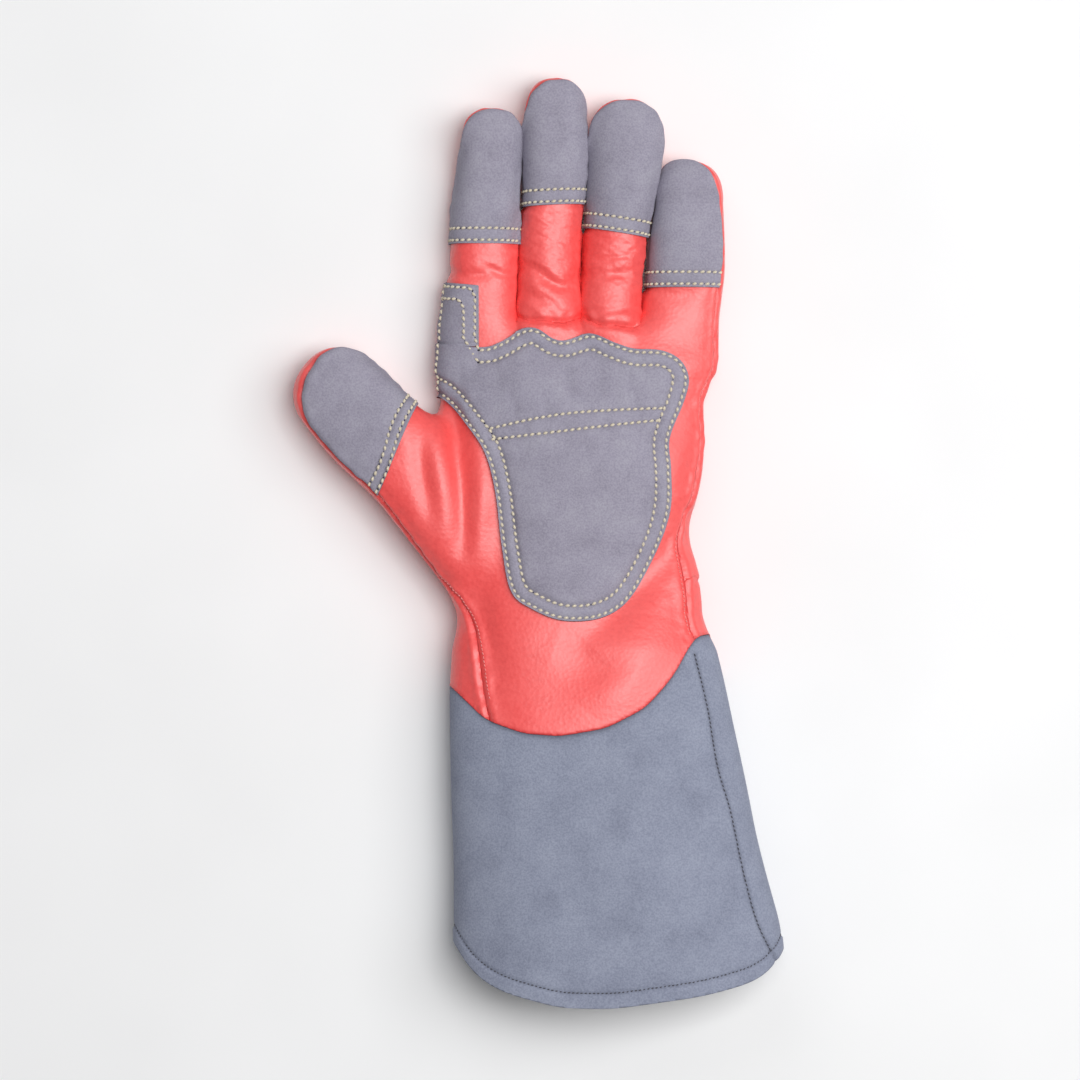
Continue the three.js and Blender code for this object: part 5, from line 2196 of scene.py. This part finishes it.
    def hem_row(self) -> list[Row]:
        """The row that holds the hem's fold, right round the cuff."""
        form = self.glove.form
        s = form.sizes
        turn = np.linspace(0, 2 * math.pi, 360)
        way = np.stack([np.cos(turn), 0 * turn, np.sin(turn)], axis=1)
        y = np.full(len(turn), -s.cuff_length * 0.94)
        for _ in range(4):
            t = form.body_section(y)
            p = form.cast(np.stack([t.x, y, t.z], axis=1), way)
            edge = HEM.read("along", p[:, 0] / s.mouth_width, HEM_SOFTEN)
            y = s.hem_width - s.cuff_length * edge
        t = form.body_section(y)
        rows = self.lay(self.cuff, np.stack([t.x, y, t.z], axis=1), way)
        return [Row(row.points, row.normals, *HEM_THREAD) for row in rows]

    def cuff_row(self) -> list[Row]:
        """The row along the cuff's side seam."""
        line = resample(self.cuff.seam_line(self.glove), 240)
        over = self.glove.hem(np.pad(line, ((0, 0), (0, 1)))) > self.glove.form.sizes.hem_width
        rows = self.up(self.cuff, line[over])
        return [Row(row.points, row.normals, *SIDE_THREAD) for row in rows]

    def build(self) -> list[bpy.types.Object]:
        """Make the cream rows, the dark ones and the fine ones beside the seams."""
        cream = []
        for row in self.pad.rows(self.glove):
            cream += self.up(self.pad, row)
        for patch in self.patches:
            cream += self.finger_rows(patch)
        cream += self.thumb_rows() + self.tab_rows() + self.edge_rows()
        pale = Stitching("cream_stitches", CREAM, "patch_suede").build(cream)
        dark = Stitching("hem_stitches", DARK, "cuff_suede").build(self.hem_row() + self.cuff_row())
        fine = Stitching("seam_stitches", ROSE, "red_leather").build(self.seam_rows(self.palm))
        return [pale, dark, fine]


@dataclass
class Studio:
    """The floor, the soft lights and the camera over the glove."""

    centre: tuple[float, float] = (-0.0162, 0.043)
    height: float = 2.4
    view: float = 0.4428

    def floor(self) -> None:
        """A wide plane just under the glove, with its edges far out of view."""
        count = 9
        axis = np.linspace(-6000, 6000, count)
        x, y = np.meshgrid(axis, axis)
        points = np.stack([x.ravel(), y.ravel(), np.full(x.size, -0.2)], axis=1)
        i = np.arange(count - 1)[:, None] * count + np.arange(count - 1)
        faces = np.stack([i, i + 1, i + count + 1, i + count], axis=-1).reshape(-1, 4)
        made = make_object("floor", points, faces, (FLOOR,), np.zeros(len(faces)), {})

    def light(self, name: str, place: tuple, size: float, power: float) -> None:
        """A square soft light that looks at the glove."""
        data = bpy.data.lights.new(name, "AREA")
        data.size, data.energy = size, power
        made = bpy.data.objects.new(name, data)
        made.location = place
        aim = Vector((self.centre[0], self.centre[1], 0.02)) - Vector(place)
        made.rotation_euler = aim.to_track_quat("-Z", "Y").to_euler()
        bpy.context.scene.collection.objects.link(made)

    def camera(self) -> None:
        """A long lens straight above, framing what the photograph frames."""
        data = bpy.data.cameras.new("camera")
        data.sensor_width = 36.0
        data.lens = 36.0 * self.height / self.view
        data.clip_end = 50.0
        made = bpy.data.objects.new("camera", data)
        made.location = (*self.centre, self.height + 0.02)
        bpy.context.scene.collection.objects.link(made)
        bpy.context.scene.camera = made

    def build(self) -> None:
        """Set up the whole studio."""
        self.floor()
        self.camera()
        self.light("overhead", (0.5, 0.25, 2.5), 1.3, 43)
        self.light("key", (0.85, 0.2, 1.1), 0.7, 6.2)
        self.light("fill", (-0.45, 1.1, 1.1), 1.0, 2.5)
        world = bpy.data.worlds.new("studio")
        world.use_nodes = True
        background = world.node_tree.nodes["Background"]
        background.inputs["Color"].default_value = (0.95, 0.96, 1.0, 1)
        background.inputs["Strength"].default_value = 0.14
        bpy.context.scene.world = world
        bpy.context.scene.view_settings.view_transform = "Standard"


def main() -> None:
    """Build the glove's pieces in order, then the stitches and the studio."""
    logging.basicConfig(level=logging.INFO, format="%(name)s: %(message)s")
    glove = Glove()
    glove.mesh()
    log.info("skin: %d faces", len(glove.skin.faces))
    panels = [
        BackPanel("back_leather", "back_panel", *HIDE),
        PalmPanel("palm_leather", "palm_panel", *HIDE),
        ThumbBack("thumb_back_leather", "thumb_back", *HIDE),
        WristYoke("wrist_yoke_leather", "wrist_yoke", *HIDE),
        *FRONTS,
    ]
    # Lift, wall and the rim's bulge of each grey piece.
    cuff = Cuff("cuff_sleeve", "cuff", "cuff_suede", SLEEVE, GREY_RAW, -SIZES.cuff_step, 1.8, 0.35)
    pad = PalmPad("palm_pad_suede", "palm_pad", *SPLIT, PATCH_GAP + 1.4, 1.4, 0.45)
    tab = IndexTab("index_tab_suede", "index_tab", *SPLIT, PATCH_GAP + 1.1, 1.1, 0.4)
    thin = (PATCH_GAP + 0.9, 0.9, 0.35)
    patches = tuple(
        FingerPatch(f"{name}_patch_suede", f"{name}_patch", *SPLIT, *thin, finger=finger)
        for name, finger in zip(("index", "middle", "ring", "little"), FINGERS)
    )
    thumb = ThumbPatch("thumb_patch_suede", "thumb_patch", *SPLIT, *thin)
    pad.cloth.run(glove.pad)
    for panel in (*panels, cuff, pad, tab, *patches, thumb):
        panel.build(glove)
    Sewing(glove, pad, patches, thumb, tab, cuff, panels[1]).build()
    Studio().build()


if __name__ == "__main__":
    main()
    bpy.context.view_layer.update()
